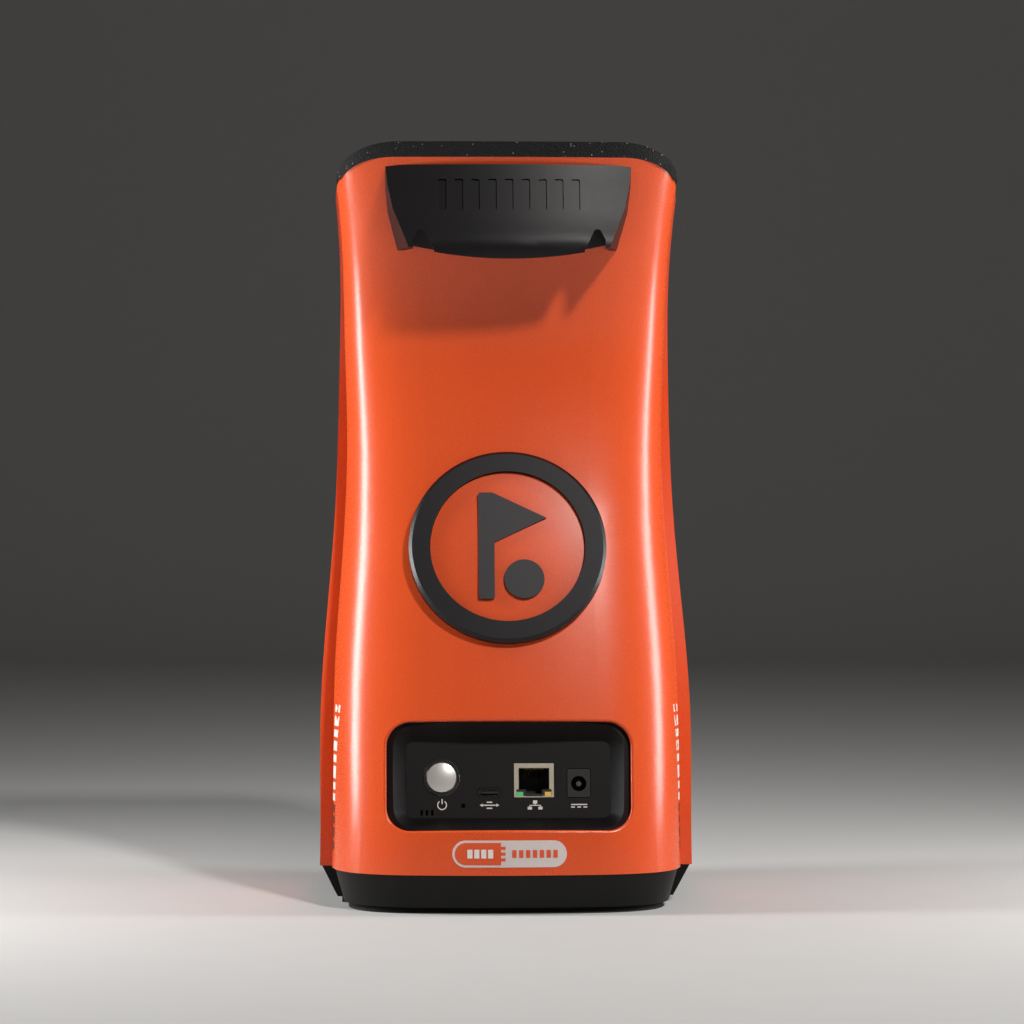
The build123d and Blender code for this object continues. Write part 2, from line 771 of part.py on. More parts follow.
with BuildPart() as grip_bars:
    with BuildSketch(Plane.XZ.offset(50)):
        with Locations((0, GRIP_BAR_Z)):
            with GridLocations(GRIP_PITCH, 1, GRIP_BARS, 1):
                RectangleRounded(GRIP_BAR_W, GRIP_BAR_H, 0.6)
    extrude(amount=20)
    add(hood_round(GRIP_SINK), mode=Mode.SUBTRACT)

with BuildPart() as hood_notches:
    with BuildSketch(Plane.XZ.offset(50)):
        for side in (-1, 1):
            with BuildLine():
                Polyline(
                    (side * NOTCH_OUTER, HOOD_LIP_Z - 4),
                    (side * NOTCH_OUTER, NOTCH_SHOULDER_Z),
                    (side * NOTCH_TIP, NOTCH_TOP),
                    (side * NOTCH_INNER, HOOD_LIP_Z + 3),
                    (side * NOTCH_INNER, HOOD_LIP_Z - 4),
                    close=True,
                )
            make_face()
    extrude(amount=20)
    fillet(hood_notches.edges().filter_by(Axis.Y).group_by(Axis.Z)[-1], NOTCH_R)

with BuildPart() as handle_hood:
    add(hood_wedge(0))
    add(hood_edges(0, HOOD_LOW_Z, HOOD_LIP_Z), mode=Mode.INTERSECT)
    add(hood_round(0), mode=Mode.INTERSECT)
    add(hood_room.part, mode=Mode.SUBTRACT)
    add(hood_bosses.part)
    add(rear_outer, mode=Mode.SUBTRACT)
    add(grip_bars.part, mode=Mode.SUBTRACT)
    add(hood_notches.part, mode=Mode.SUBTRACT)
    with BuildSketch(Plane.XZ.offset(30)):
        with Locations(*HOOD_SCREWS):
            Circle(SCREW_R - 0.25)
    extrude(amount=HOOD_PILOT_END - 30, mode=Mode.SUBTRACT)
handle_hood.part.label = "handle_hood"
export_step(handle_hood.part, "parts/handle_hood.step")

LINER_T = 1.2
LINER_HALF = 42.0
LINER_RISE = 2.6
LINER_HIGH = 283.5
with BuildPart() as handle_liner:
    add(rear_body(-LINER_T))
    add(rear_outer, mode=Mode.SUBTRACT)
    with BuildSketch(Plane.XZ):
        with Locations((0, LINER_HIGH - 20)):
            Rectangle(2 * (LINER_HALF - 2), 40)
    extrude(amount=REACH, mode=Mode.INTERSECT)
    add(hood_edges(0, HOOD_LOW_Z + LINER_RISE, HOOD_LIP_Z + LINER_RISE), mode=Mode.INTERSECT)
    add(hood_room.part, mode=Mode.INTERSECT)
handle_liner.part.label = "handle_liner"
export_step(handle_liner.part, "parts/handle_liner.step")

with BuildPart() as handle_screws:
    add(screws(Plane.XZ.offset(-HOOD_PAD_Y), HOOD_SCREWS, 2.9, 2.0, SCREW_R - 0.3, HOOD_SCREW_L, 1.3))
handle_screws.part.label = "handle_screws"
export_step(handle_screws.part, "parts/handle_screws.step")

# ---- badge ----
BADGE_DISC_TOP = 2.9
BADGE_DISC_SAG = 1.1
BADGE_GAP = 0.15
EMBLEM_TOP = 3.7
badge_axis = Axis(BADGE.origin, BADGE.z_dir)
with BuildPart() as badge_ring:
    add(badge_round(BADGE_R, -9, BADGE_RISE))
    chamfer(badge_ring.faces().sort_by(badge_axis)[-1].edges(), BADGE_BEVEL)
    add(badge_round(BADGE_INNER_R, -12, BADGE_RISE + 2), mode=Mode.SUBTRACT)
    add(rear_outer, mode=Mode.SUBTRACT)
badge_ring.part.label = "badge_ring"
export_step(badge_ring.part, "parts/badge_ring.step")

disc_r = BADGE_INNER_R - BADGE_GAP
dome_r = (disc_r * disc_r + BADGE_DISC_SAG * BADGE_DISC_SAG) / (2 * BADGE_DISC_SAG)
with BuildPart() as badge_dome:
    with Locations(BADGE.origin + BADGE.z_dir * (BADGE_DISC_TOP - dome_r)):
        Sphere(dome_r)
    add(badge_round(disc_r, -9, BADGE_DISC_TOP + 1), mode=Mode.INTERSECT)

with BuildPart() as badge_disc:
    add(badge_dome.part)
    add(rear_outer, mode=Mode.SUBTRACT)
badge_disc.part.label = "badge_disc"
export_step(badge_disc.part, "parts/badge_disc.step")

with BuildPart() as badge_emblem:
    with BuildSketch(BADGE.offset(1)):
        with Locations((-8.5, 0)):
            RectangleRounded(6.4, 44, 1)
        with BuildLine():
            Polyline((-6, 22), (15.5, 11.5), (-6, 1), close=True)
        make_face()
        with Locations((6.5, -13.8)):
            Circle(8.0)
    extrude(amount=EMBLEM_TOP - 1)
    add(badge_dome.part, mode=Mode.SUBTRACT)
badge_emblem.part.label = "badge_emblem"
export_step(badge_emblem.part, "parts/badge_emblem.step")

# ---- status label near the ground ----
LABEL_Z = 24.2
LABEL_W = 45.0
LABEL_H = 10.5
LABEL_T = 0.25
with BuildPart() as feature_label:
    add(rear_body(-LABEL_T))
    add(rear_outer, mode=Mode.SUBTRACT)
    with BuildSketch(Plane.XZ):
        with Locations((0, LABEL_Z)):
            SlotOverall(LABEL_W, LABEL_H)
    extrude(amount=REACH, mode=Mode.INTERSECT)
feature_label.part.label = "feature_label"
export_step(feature_label.part, "parts/feature_label.step")

# ---- port panel ----
BUTTON_U = -26.5
BUTTON_V = 0.9
BUTTON_R = 5.8
BUTTON_HOLE_R = 6.9
RIM_R = 6.2
RIM_FLANGE_R = 7.4
RIM_RISE = 0.5
RESET_U = -17.9
RESET_V = -10.3
PINHOLE_R = 0.9
SLOTS_U = [-34.4, -32.3, -30.2]
SLOT_V = -13.0
USB_U = -7.45
USB_V = -5.0
USB_W = 9.0
USB_H = 3.3
RJ_U = 10.2
RJ_W = 15.8
RJ_H = 13.5
RJ_DEPTH = 21.0
DC_U = 28.0
DC_W = 9.0
DC_H = 11.2
DC_DEPTH = 14.0
DC_BARREL_R = 3.05
DC_PIN_R = 1.0
DC_HOLE_DEPTH = 9.5
CUT_GAP = 0.25
PROUD = 0.3
RJ_V = BOARD_TOP_V + RJ_H / 2
DC_V = BOARD_TOP_V + DC_H / 2
SWITCH_BOARD_N = -13.0
POST_V = 10.0
POSTS_U = [-34.5, -18.5]
RIB_U = 41.5
RIB_T = 3.0
RIB_DEPTH = 34.0
FLANGE_W = PORT_OPEN_W + 2 * PANEL_FLANGE
FLANGE_H = PORT_OPEN_H + 2 * PANEL_FLANGE
FLANGE_R = PORT_OPEN_R + 3
RIB_TOP_V = BOARD_TOP_V - BOARD_T

with BuildPart() as panel_arms:
    for post_u in POSTS_U:
        add(port_round(post_u, POST_V, 2.2, SWITCH_BOARD_N, -PANEL_T))
    for side in (-1, 1):
        add(port_box(side * RIB_U - 3.5, side * RIB_U + 3.5, RIB_TOP_V - RIB_T, RIB_TOP_V, -RIB_DEPTH, 0))

with BuildPart() as flange_room:
    add(rear_body(WALL + PANEL_GASKET + PANEL_T))
    add(port_tub(PANEL_T, -PANEL_T), mode=Mode.SUBTRACT)

with BuildPart() as io_panel:
    add(port_tub(PANEL_T, -PANEL_T))
    add(port_slab(FLANGE_W, FLANGE_H, FLANGE_R, PORT_OPEN_V, 2, REACH / 4))
    add(rear_body(WALL + PANEL_GASKET), mode=Mode.INTERSECT)
    add(flange_room.part, mode=Mode.SUBTRACT)
    add(panel_arms.part)
    add(port_tub(0, 0), mode=Mode.SUBTRACT)
    add(port_round(BUTTON_U, BUTTON_V, BUTTON_HOLE_R, -PANEL_T, 0), mode=Mode.SUBTRACT)
    add(port_round(RESET_U, RESET_V, PINHOLE_R, -PANEL_T, 0), mode=Mode.SUBTRACT)
    for slot_u in SLOTS_U:
        slot = port_box(slot_u - 0.45, slot_u + 0.45, SLOT_V - 1.1, SLOT_V + 1.1, -PANEL_T, 0)
        add(slot, mode=Mode.SUBTRACT)
    with BuildSketch(PORT.offset(-PANEL_T)):
        with Locations((USB_U, USB_V)):
            RectangleRounded(USB_W + 2 * CUT_GAP, USB_H + 2 * CUT_GAP, USB_H / 2)
        with Locations((RJ_U, RJ_V)):
            Rectangle(RJ_W + 2 * CUT_GAP, RJ_H + 2 * CUT_GAP)
        with Locations((DC_U, DC_V)):
            RectangleRounded(DC_W + 2 * CUT_GAP, DC_H + 2 * CUT_GAP, 1)
    extrude(amount=PANEL_T, mode=Mode.SUBTRACT)
io_panel.part.label = "io_panel"
export_step(io_panel.part, "parts/io_panel.step")

with BuildPart() as io_panel_gasket:
    add(port_slab(FLANGE_W, FLANGE_H, FLANGE_R, PORT_OPEN_V, 2, REACH / 4))
    add(rear_skin, mode=Mode.INTERSECT)
    add(rear_body(WALL + PANEL_GASKET), mode=Mode.SUBTRACT)
    opening = port_slab(PORT_OPEN_W + 1, PORT_OPEN_H + 1, PORT_OPEN_R + 0.5, PORT_OPEN_V, 0, REACH / 4)
    add(opening, mode=Mode.SUBTRACT)
io_panel_gasket.part.label = "io_panel_gasket"
export_step(io_panel_gasket.part, "parts/io_panel_gasket.step")

# ---- power button ----
BUTTON_TRAVEL = 0.7
BUTTON_TOP = 0.9
BUTTON_SAG = 0.9
STEM_R = 2.5
STEM_TIP = -8.0
RETAINER_R = 7.6
RETAINER_N = -2.1
PLUNGER_R = 1.7
SWITCH_FACE = -9.3
button_dome_r = (BUTTON_R * BUTTON_R + BUTTON_SAG * BUTTON_SAG) / (2 * BUTTON_SAG)
button_centre = PORT.offset(BUTTON_TOP + BUTTON_SAG - button_dome_r).from_local_coords((BUTTON_U, BUTTON_V, 0))
with BuildPart() as power_button:
    with Locations(button_centre):
        Sphere(button_dome_r)
    add(port_round(BUTTON_U, BUTTON_V, BUTTON_R, RETAINER_N - 1, BUTTON_TOP + 1), mode=Mode.INTERSECT)
    add(port_round(BUTTON_U, BUTTON_V, RETAINER_R, RETAINER_N - 1.2, RETAINER_N))
    add(port_round(BUTTON_U, BUTTON_V, STEM_R, STEM_TIP, RETAINER_N - 1))
power_button.part.label = "power_button"
export_step(power_button.part, "parts/power_button.step")

with BuildPart() as button_rim:
    add(port_round(BUTTON_U, BUTTON_V, BUTTON_HOLE_R, -PANEL_T, 0))
    add(port_round(BUTTON_U, BUTTON_V, RIM_FLANGE_R, 0, RIM_RISE))
    chamfer(button_rim.faces().sort_by(Axis(PORT.origin, PORT.z_dir))[-1].edges(), 0.3)
    add(port_round(BUTTON_U, BUTTON_V, RIM_R, -PANEL_T, RIM_RISE), mode=Mode.SUBTRACT)
button_rim.part.label = "button_rim"
export_step(button_rim.part, "parts/button_rim.step")

SWITCH_HALF = 3.1
SWITCH_BORE_N = SWITCH_FACE - 2.6
with BuildPart() as power_switch_body:
    add(
        port_box(
            BUTTON_U - SWITCH_HALF, BUTTON_U + SWITCH_HALF, BUTTON_V - SWITCH_HALF, BUTTON_V + SWITCH_HALF,
            SWITCH_BOARD_N, SWITCH_FACE,
        )
    )
    add(port_round(BUTTON_U, BUTTON_V, PLUNGER_R + 0.3, SWITCH_BORE_N, SWITCH_FACE), mode=Mode.SUBTRACT)
power_switch_body.part.label = "power_switch_body"
export_step(power_switch_body.part, "parts/power_switch_body.step")

with BuildPart() as power_switch_plunger:
    add(port_round(BUTTON_U, BUTTON_V, PLUNGER_R, SWITCH_BORE_N + BUTTON_TRAVEL + 0.4, STEM_TIP - 0.02))
power_switch_plunger.part.label = "power_switch_plunger"
export_step(power_switch_plunger.part, "parts/power_switch_plunger.step")

with BuildPart() as button_board:
    add(port_box(-37, -16, BOARD_TOP_V + 0.1, 13, SWITCH_BOARD_N - BOARD_T, SWITCH_BOARD_N))
button_board.part.label = "button_board"
export_step(button_board.part, "parts/button_board.step")

# ---- reset switch under the port board ----
RESET_TIP_N = -3.0
RESET_FACE_N = -4.2
RESET_R = 0.8
with BuildPart() as reset_switch_body:
    add(port_box(RESET_U - 2.4, RESET_U + 2.4, RIB_TOP_V - 3.6, RIB_TOP_V, -8.0, RESET_FACE_N))
    add(port_round(RESET_U, RESET_V, RESET_R + 0.3, -6.4, RESET_FACE_N), mode=Mode.SUBTRACT)
reset_switch_body.part.label = "reset_switch_body"
export_step(reset_switch_body.part, "parts/reset_switch_body.step")

with BuildPart() as reset_switch_plunger:
    add(port_round(RESET_U, RESET_V, RESET_R, -5.8, RESET_TIP_N))
reset_switch_plunger.part.label = "reset_switch_plunger"
export_step(reset_switch_plunger.part, "parts/reset_switch_plunger.step")

# ---- port board ----
BOARD_HALF = 44.0
BOARD_EDGE_N = -2.4
BOARD_FAR_N = -36.0
IO_SCREWS = [(-RIB_U, -8.0), (RIB_U, -8.0), (-RIB_U, -30.0), (RIB_U, -30.0)]
io_top = Plane(
    origin=PORT.from_local_coords((0, BOARD_TOP_V, 0)),
    x_dir=(1, 0, 0),
    z_dir=PORT.y_dir,
)
with BuildPart() as io_board:
    add(port_box(-BOARD_HALF, BOARD_HALF, RIB_TOP_V, BOARD_TOP_V, BOARD_FAR_N, BOARD_EDGE_N))
    with BuildSketch(io_top):
        with Locations(*[(u, -n) for u, n in IO_SCREWS]):
            Circle(1.25)
    extrude(amount=-BOARD_T, mode=Mode.SUBTRACT)
io_board.part.label = "io_board"
export_step(io_board.part, "parts/io_board.step")

with BuildPart() as io_board_screws:
    add(screws(io_top.offset(0), [(u, -n) for u, n in IO_SCREWS], 2.1, -1.4, 1.1, -BOARD_T, 0.9))
io_board_screws.part.label = "io_board_screws"
export_step(io_board_screws.part, "parts/io_board_screws.step")

# ---- ethernet jack ----
RJ_SKIN = 0.35
RJ_MOUTH_W = 11.8
RJ_MOUTH_TOP = 3.6
RJ_MOUTH_LOW = -3.6
RJ_LATCH_W = 6.4
RJ_LATCH_LOW = -5.4
RJ_MOUTH_DEPTH = 12.5
RJ_FACE_HALF = 6.1
RJ_FACE_TOP = 4.9
RJ_LAMP_HALF = 7.0
RJ_FACE_LOW = 0.5
LED_W = 2.6
LED_H = 1.6
rj0 = RJ_U - RJ_W / 2
rj1 = RJ_U + RJ_W / 2
rv0 = RJ_V - RJ_H / 2
rv1 = RJ_V + RJ_H / 2
with BuildPart() as ethernet_shell:
    add(port_box(rj0, rj1, rv0, rv1, -RJ_DEPTH, PROUD))
    add(
        port_box(rj0 + RJ_SKIN, rj1 - RJ_SKIN, rv0 + RJ_SKIN, rv1 - RJ_SKIN, -RJ_DEPTH + RJ_SKIN, 0),
        mode=Mode.SUBTRACT,
    )
    face_gaps = [
        (RJ_FACE_HALF, RJ_V + RJ_MOUTH_LOW, RJ_V + RJ_FACE_TOP),
        (RJ_LAMP_HALF, rv0 + RJ_FACE_LOW, RJ_V + RJ_MOUTH_LOW),
        (RJ_LATCH_W / 2, rv0, rv0 + RJ_FACE_LOW),
    ]
    for gap_half, gap_low, gap_high in face_gaps:
        gap = port_box(RJ_U - gap_half, RJ_U + gap_half, gap_low, gap_high, 0, PROUD)
        add(gap, mode=Mode.SUBTRACT)
ethernet_shell.part.label = "ethernet_shell"
export_step(ethernet_shell.part, "parts/ethernet_shell.step")

LED_SPOTS = [RJ_U - 5.6, RJ_U + 5.6]
LED_V = rv0 + RJ_SKIN + 0.2 + LED_H / 2
with BuildPart() as ethernet_body:
    add(port_box(rj0 + RJ_SKIN, rj1 - RJ_SKIN, rv0 + RJ_SKIN, rv1 - RJ_SKIN, -RJ_DEPTH + RJ_SKIN, 0))
    add(
        port_box(
            RJ_U - RJ_MOUTH_W / 2, RJ_U + RJ_MOUTH_W / 2, RJ_V + RJ_MOUTH_LOW, RJ_V + RJ_MOUTH_TOP + 1.2,
            -RJ_MOUTH_DEPTH, 0,
        ),
        mode=Mode.SUBTRACT,
    )
    add(
        port_box(
            RJ_U - RJ_LATCH_W / 2, RJ_U + RJ_LATCH_W / 2, RJ_V + RJ_LATCH_LOW, RJ_V + RJ_MOUTH_LOW,
            -RJ_MOUTH_DEPTH, 0,
        ),
        mode=Mode.SUBTRACT,
    )
    for led_u in LED_SPOTS:
        add(
            port_box(led_u - LED_W / 2, led_u + LED_W / 2, LED_V - LED_H / 2, LED_V + LED_H / 2, -3, 0),
            mode=Mode.SUBTRACT,
        )
ethernet_body.part.label = "ethernet_body"
export_step(ethernet_body.part, "parts/ethernet_body.step")

RJ_CONTACTS = 8
RJ_PITCH = 1.02
with BuildPart() as ethernet_contacts:
    for i in range(RJ_CONTACTS):
        contact_u = RJ_U + (i - (RJ_CONTACTS - 1) / 2) * RJ_PITCH
        contact_origin = PORT.from_local_coords((contact_u - 0.25, 0, 0))
        with BuildSketch(Plane(origin=contact_origin, x_dir=-PORT.z_dir, z_dir=(1, 0, 0))):
            Polygon(
                (1.5, RJ_V + 4.8), (12.5, RJ_V + 4.8), (12.5, RJ_V + 1.6), (12.0, RJ_V + 1.6), (1.5, RJ_V + 4.3),
                align=None,
            )
        extrude(amount=0.5)
ethernet_contacts.part.label = "ethernet_contacts"
export_step(ethernet_contacts.part, "parts/ethernet_contacts.step")


def light_pipe(u):
    with BuildPart() as pipe:
        add(port_box(u - LED_W / 2, u + LED_W / 2, LED_V - LED_H / 2, LED_V + LED_H / 2, -3, 0.1))
    return pipe.part


with BuildPart() as ethernet_led_green:
    add(light_pipe(LED_SPOTS[0]))
ethernet_led_green.part.label = "ethernet_led_green"
export_step(ethernet_led_green.part, "parts/ethernet_led_green.step")

with BuildPart() as ethernet_led_yellow:
    add(light_pipe(LED_SPOTS[1]))
ethernet_led_yellow.part.label = "ethernet_led_yellow"
export_step(ethernet_led_yellow.part, "parts/ethernet_led_yellow.step")


# ---- USB-C socket ----
def usb_slot(grow, n0, n1):
    with BuildPart() as slot:
        with BuildSketch(PORT.offset(n0)):
            with Locations((USB_U, USB_V)):
                RectangleRounded(USB_W + 2 * grow, USB_H + 2 * grow, USB_H / 2 + grow - 0.05)
        extrude(amount=n1 - n0)
    return slot.part


USB_SKIN = 0.33
USB_DEPTH = 9.0
with BuildPart() as usb_c_shell:
    add(usb_slot(0, -USB_DEPTH, PROUD))
    add(port_box(USB_U - 3.6, USB_U + 3.6, BOARD_TOP_V, USB_V, -USB_DEPTH, -3))
    add(usb_slot(-USB_SKIN, -USB_DEPTH + 1.2, PROUD), mode=Mode.SUBTRACT)
usb_c_shell.part.label = "usb_c_shell"
export_step(usb_c_shell.part, "parts/usb_c_shell.step")

with BuildPart() as usb_c_tongue:
    add(port_box(USB_U - 3.3, USB_U + 3.3, USB_V - 0.35, USB_V + 0.35, -USB_DEPTH + 1.2, -0.8))
usb_c_tongue.part.label = "usb_c_tongue"
export_step(usb_c_tongue.part, "parts/usb_c_tongue.step")

# ---- power inlet ----
with BuildPart() as dc_jack_body:
    with BuildSketch(PORT.offset(-DC_DEPTH)):
        with Locations((DC_U, DC_V)):
            RectangleRounded(DC_W, DC_H, 0.8)
    extrude(amount=DC_DEPTH + PROUD)
    add(port_round(DC_U, DC_V - 0.2, DC_BARREL_R, -DC_HOLE_DEPTH, PROUD), mode=Mode.SUBTRACT)
dc_jack_body.part.label = "dc_jack_body"
export_step(dc_jack_body.part, "parts/dc_jack_body.step")

with BuildPart() as dc_jack_pin:
    add(port_round(DC_U, DC_V - 0.2, DC_PIN_R, -DC_HOLE_DEPTH, -0.8))
dc_jack_pin.part.label = "dc_jack_pin"
export_step(dc_jack_pin.part, "parts/dc_jack_pin.step")

# ---- front fascia and windows ----
fascia_face = front_body(FASCIA_INSET)
glass_face = front_body(FASCIA_INSET + 0.1)
glass_back = front_body(FASCIA_INSET + 0.1 + GLASS_T)
seal_back = front_body(FASCIA_INSET + 0.1 + GLASS_T + SEAL_T)
fascia_back = front_body(FASCIA_INSET + FASCIA_T)
with BuildPart() as bezel_blank:
    add(fascia_face)
    add(fascia_back, mode=Mode.SUBTRACT)
    add(fascia_prism(-0.2), mode=Mode.INTERSECT)
    add(window_prism(-SEAL_W, 0, REACH), mode=Mode.SUBTRACT)
    add(display_prism(-SEAL_W, -20, 20), mode=Mode.SUBTRACT)
with BuildPart() as seat_room:
    add(window_prism(SEAT_GAP, 0, REACH))
    add(display_prism(SEAT_GAP, -20, 20))
    add(seal_back, mode=Mode.SUBTRACT)
with BuildPart() as front_bezel:
    add(bezel_blank.part)
    add(seat_room.part, mode=Mode.SUBTRACT)
front_bezel.part.label = "front_bezel"
export_step(front_bezel.part, "parts/front_bezel.step")

with BuildPart() as camera_window:
    add(glass_face)
    add(glass_back, mode=Mode.SUBTRACT)
    add(window_prism(0, 0, REACH), mode=Mode.INTERSECT)
camera_window.part.label = "camera_window"
export_step(camera_window.part, "parts/camera_window.step")

with BuildPart() as window_gasket:
    add(glass_back)
    add(seal_back, mode=Mode.SUBTRACT)
    add(window_prism(0, 0, REACH), mode=Mode.INTERSECT)
    add(window_prism(-SEAL_W, 0, REACH), mode=Mode.SUBTRACT)
window_gasket.part.label = "window_gasket"
export_step(window_gasket.part, "parts/window_gasket.step")

with BuildPart() as display_glass:
    add(glass_face)
    add(glass_back, mode=Mode.SUBTRACT)
    add(display_prism(0, -20, 20), mode=Mode.INTERSECT)
display_glass.part.label = "display_glass"
export_step(display_glass.part, "parts/display_glass.step")

with BuildPart() as display_gasket:
    add(glass_back)
    add(seal_back, mode=Mode.SUBTRACT)
    add(display_prism(0, -20, 20), mode=Mode.INTERSECT)
    add(display_prism(-SEAL_W, -20, 20), mode=Mode.SUBTRACT)
display_gasket.part.label = "display_gasket"
export_step(display_gasket.part, "parts/display_gasket.step")

DISPLAY_MODULE_N = -3.6
DISPLAY_MODULE_T = 5.0
with BuildPart() as display_module:
    add(display_prism(-SEAL_W - 0.4, DISPLAY_MODULE_N - DISPLAY_MODULE_T, DISPLAY_MODULE_N))
    add(display_prism(3, DISPLAY_MODULE_N - DISPLAY_MODULE_T - 1.5, DISPLAY_MODULE_N - DISPLAY_MODULE_T))
display_module.part.label = "display_module"
export_step(display_module.part, "parts/display_module.step")

# ---- inner frame ----
RAIL_POSTS = [(-44, 44.5), (44, 44.5), (-44, 146), (44, 146)]
CRADLE_POSTS = [(-30, 100), (30, 100), (-30, 182), (30, 182)]
BOARD_POSTS = [(-42, 204), (42, 204), (-42, 272), (42, 272)]
MAIN_BOARD_Y = 10.0
lug_places = [(side * LUG_X, lug_z) for lug_z in LUG_Z for side in (-1, 1)]
back_plane = Plane.XZ.offset(-CHASSIS_Y)
front_plane = Plane.XZ.offset(-(CHASSIS_Y + CHASSIS_T))
with BuildPart() as chassis:
    with BuildSketch(front_plane):
        with Locations((0, (CHASSIS_LOW + CHASSIS_HIGH) / 2)):
            RectangleRounded(2 * CHASSIS_HALF, CHASSIS_HIGH - CHASSIS_LOW, 5)
        for lug_z in LUG_Z:
            with Locations((0, lug_z)):
                RectangleRounded(2 * LUG_X + 8, 2 * LUG_HALF_H - 2, 4)
        with Locations((0, 78), (0, 141)):
            RectangleRounded(46, 34, 4, mode=Mode.SUBTRACT)
    extrude(amount=CHASSIS_T)
    with BuildSketch(back_plane):
        with Locations(*BOARD_POSTS):
            Circle(3)
    extrude(amount=CHASSIS_Y - MAIN_BOARD_Y)
    with BuildSketch(front_plane):
        with Locations(*RAIL_POSTS):
            Circle(3.5)
    extrude(amount=-(RAIL_Y - CHASSIS_Y - CHASSIS_T))
    with BuildSketch(front_plane):
        with Locations(*(lug_places + CRADLE_POSTS)):
            Circle(SCREW_CLEAR_R)
    extrude(amount=CHASSIS_T, mode=Mode.SUBTRACT)
chassis.part.label = "chassis"
export_step(chassis.part, "parts/chassis.step")

with BuildPart() as chassis_screws:
    add(screws(back_plane, lug_places, 3.2, -2.2, SCREW_R - 0.05, -11, 1.5))
chassis_screws.part.label = "chassis_screws"
export_step(chassis_screws.part, "parts/chassis_screws.step")

# ---- cameras and strobes ----
rail_front = RAIL_Y + RAIL_T
BARREL_FLANGE_R = 11.5
LENS_R = 7.0
CAMERA_TIP = 55.0
barrel_back = Plane.XZ.offset(-RAIL_Y)
with BuildPart() as camera_rail:
    with BuildSketch(barrel_back):
        with Locations((0, (RAIL_LOW + RAIL_HIGH) / 2)):
            RectangleRounded(104, RAIL_HIGH - RAIL_LOW, 6)
        with Locations(*CAMERAS):
            Circle(CAMERA_R, mode=Mode.SUBTRACT)
        with Locations(*STROBES):
            RectangleRounded(22, 22, 3, mode=Mode.SUBTRACT)
    extrude(amount=-RAIL_T)
camera_rail.part.label = "camera_rail"
export_step(camera_rail.part, "parts/camera_rail.step")

with BuildPart() as camera_barrels:
    with BuildSketch(barrel_back):
        with Locations(*CAMERAS):
            Circle(CAMERA_R)
    extrude(amount=-(CAMERA_TIP - 6 - RAIL_Y))
    with BuildSketch(Plane.XZ.offset(-rail_front)):
        with Locations(*CAMERAS):
            Circle(BARREL_FLANGE_R)
    extrude(amount=-4)
    with BuildSketch(Plane.XZ.offset(-(CAMERA_TIP - 6))):
        with Locations(*CAMERAS):
            Circle(BARREL_FLANGE_R)
    extrude(amount=-6)
    with BuildSketch(barrel_back):
        with Locations(*CAMERAS):
            Circle(LENS_R)
    extrude(amount=-REACH, mode=Mode.SUBTRACT)
camera_barrels.part.label = "camera_barrels"
export_step(camera_barrels.part, "parts/camera_barrels.step")

LENS_CURVE = 14.0
with BuildPart() as lens_faces:
    for x, z in CAMERAS:
        with Locations((x, CAMERA_TIP - 2 - LENS_CURVE, z)):
            Sphere(LENS_CURVE)

with BuildPart() as camera_lenses:
    with BuildSketch(Plane.XZ.offset(-(CAMERA_TIP - 12))):
        with Locations(*CAMERAS):
            Circle(LENS_R)
    extrude(amount=-11)
    add(lens_faces.part, mode=Mode.INTERSECT)
camera_lenses.part.label = "camera_lenses"
export_step(camera_lenses.part, "parts/camera_lenses.step")

with BuildPart() as camera_boards:
    with BuildSketch(barrel_back):
        with Locations(*CAMERAS):
            RectangleRounded(26, 22, 2)
    extrude(amount=1.6)
camera_boards.part.label = "camera_boards"
export_step(camera_boards.part, "parts/camera_boards.step")

with BuildPart() as strobe_boards:
    with BuildSketch(Plane.XZ.offset(-rail_front)):
        with Locations(*STROBES):
            RectangleRounded(STROBE_SIZE, STROBE_SIZE, 2)
    extrude(amount=-1.6)
strobe_boards.part.label = "strobe_boards"
export_step(strobe_boards.part, "parts/strobe_boards.step")

LED_PITCH = 8.0
LED_R = 2.5
LED_BASE_Y = rail_front + 1.6
with BuildPart() as strobe_leds:
    with BuildSketch(Plane.XZ.offset(-LED_BASE_Y)):
        for x, z in STROBES:
            with Locations((x, z)):
                with GridLocations(LED_PITCH, LED_PITCH, 4, 4):
                    Circle(LED_R)
    extrude(amount=-3.4)
    fillet(strobe_leds.faces().sort_by(Axis.Y)[-2 * 16:].edges(), 1.6)
strobe_leds.part.label = "strobe_leds"
export_step(strobe_leds.part, "parts/strobe_leds.step")

# ---- main board ----
BOARD_HALF_W = 47.0
BOARD_LOW = 198.0
BOARD_HIGH = 280.0
board_back = Plane.XZ.offset(-(MAIN_BOARD_Y - BOARD_T))
with BuildPart() as main_board:
    with BuildSketch(board_back):
        with Locations((0, (BOARD_LOW + BOARD_HIGH) / 2)):
            RectangleRounded(2 * BOARD_HALF_W, BOARD_HIGH - BOARD_LOW, 3)
        with Locations(*BOARD_POSTS):
            Circle(1.6, mode=Mode.SUBTRACT)
    extrude(amount=-BOARD_T)
main_board.part.label = "main_board"
export_step(main_board.part, "parts/main_board.step")

with BuildPart() as main_board_screws:
    add(screws(board_back, BOARD_POSTS, 2.6, -1.8, 1.4, -BOARD_T, 1.1))
main_board_screws.part.label = "main_board_screws"
export_step(main_board_screws.part, "parts/main_board_screws.step")

CPU = (0, 250)
CHIP_T = 1.8
with BuildPart() as processor_chips:
    with BuildSketch(board_back):
        with Locations(CPU):
            Rectangle(26, 26)
        with Locations((-34, 246), (34, 246), (-34, 228)):
            Rectangle(11, 13)
        with Locations((20, 212), (34, 214)):
            Rectangle(8, 8)
    extrude(amount=CHIP_T)
processor_chips.part.label = "processor_chips"
export_step(processor_chips.part, "parts/processor_chips.step")

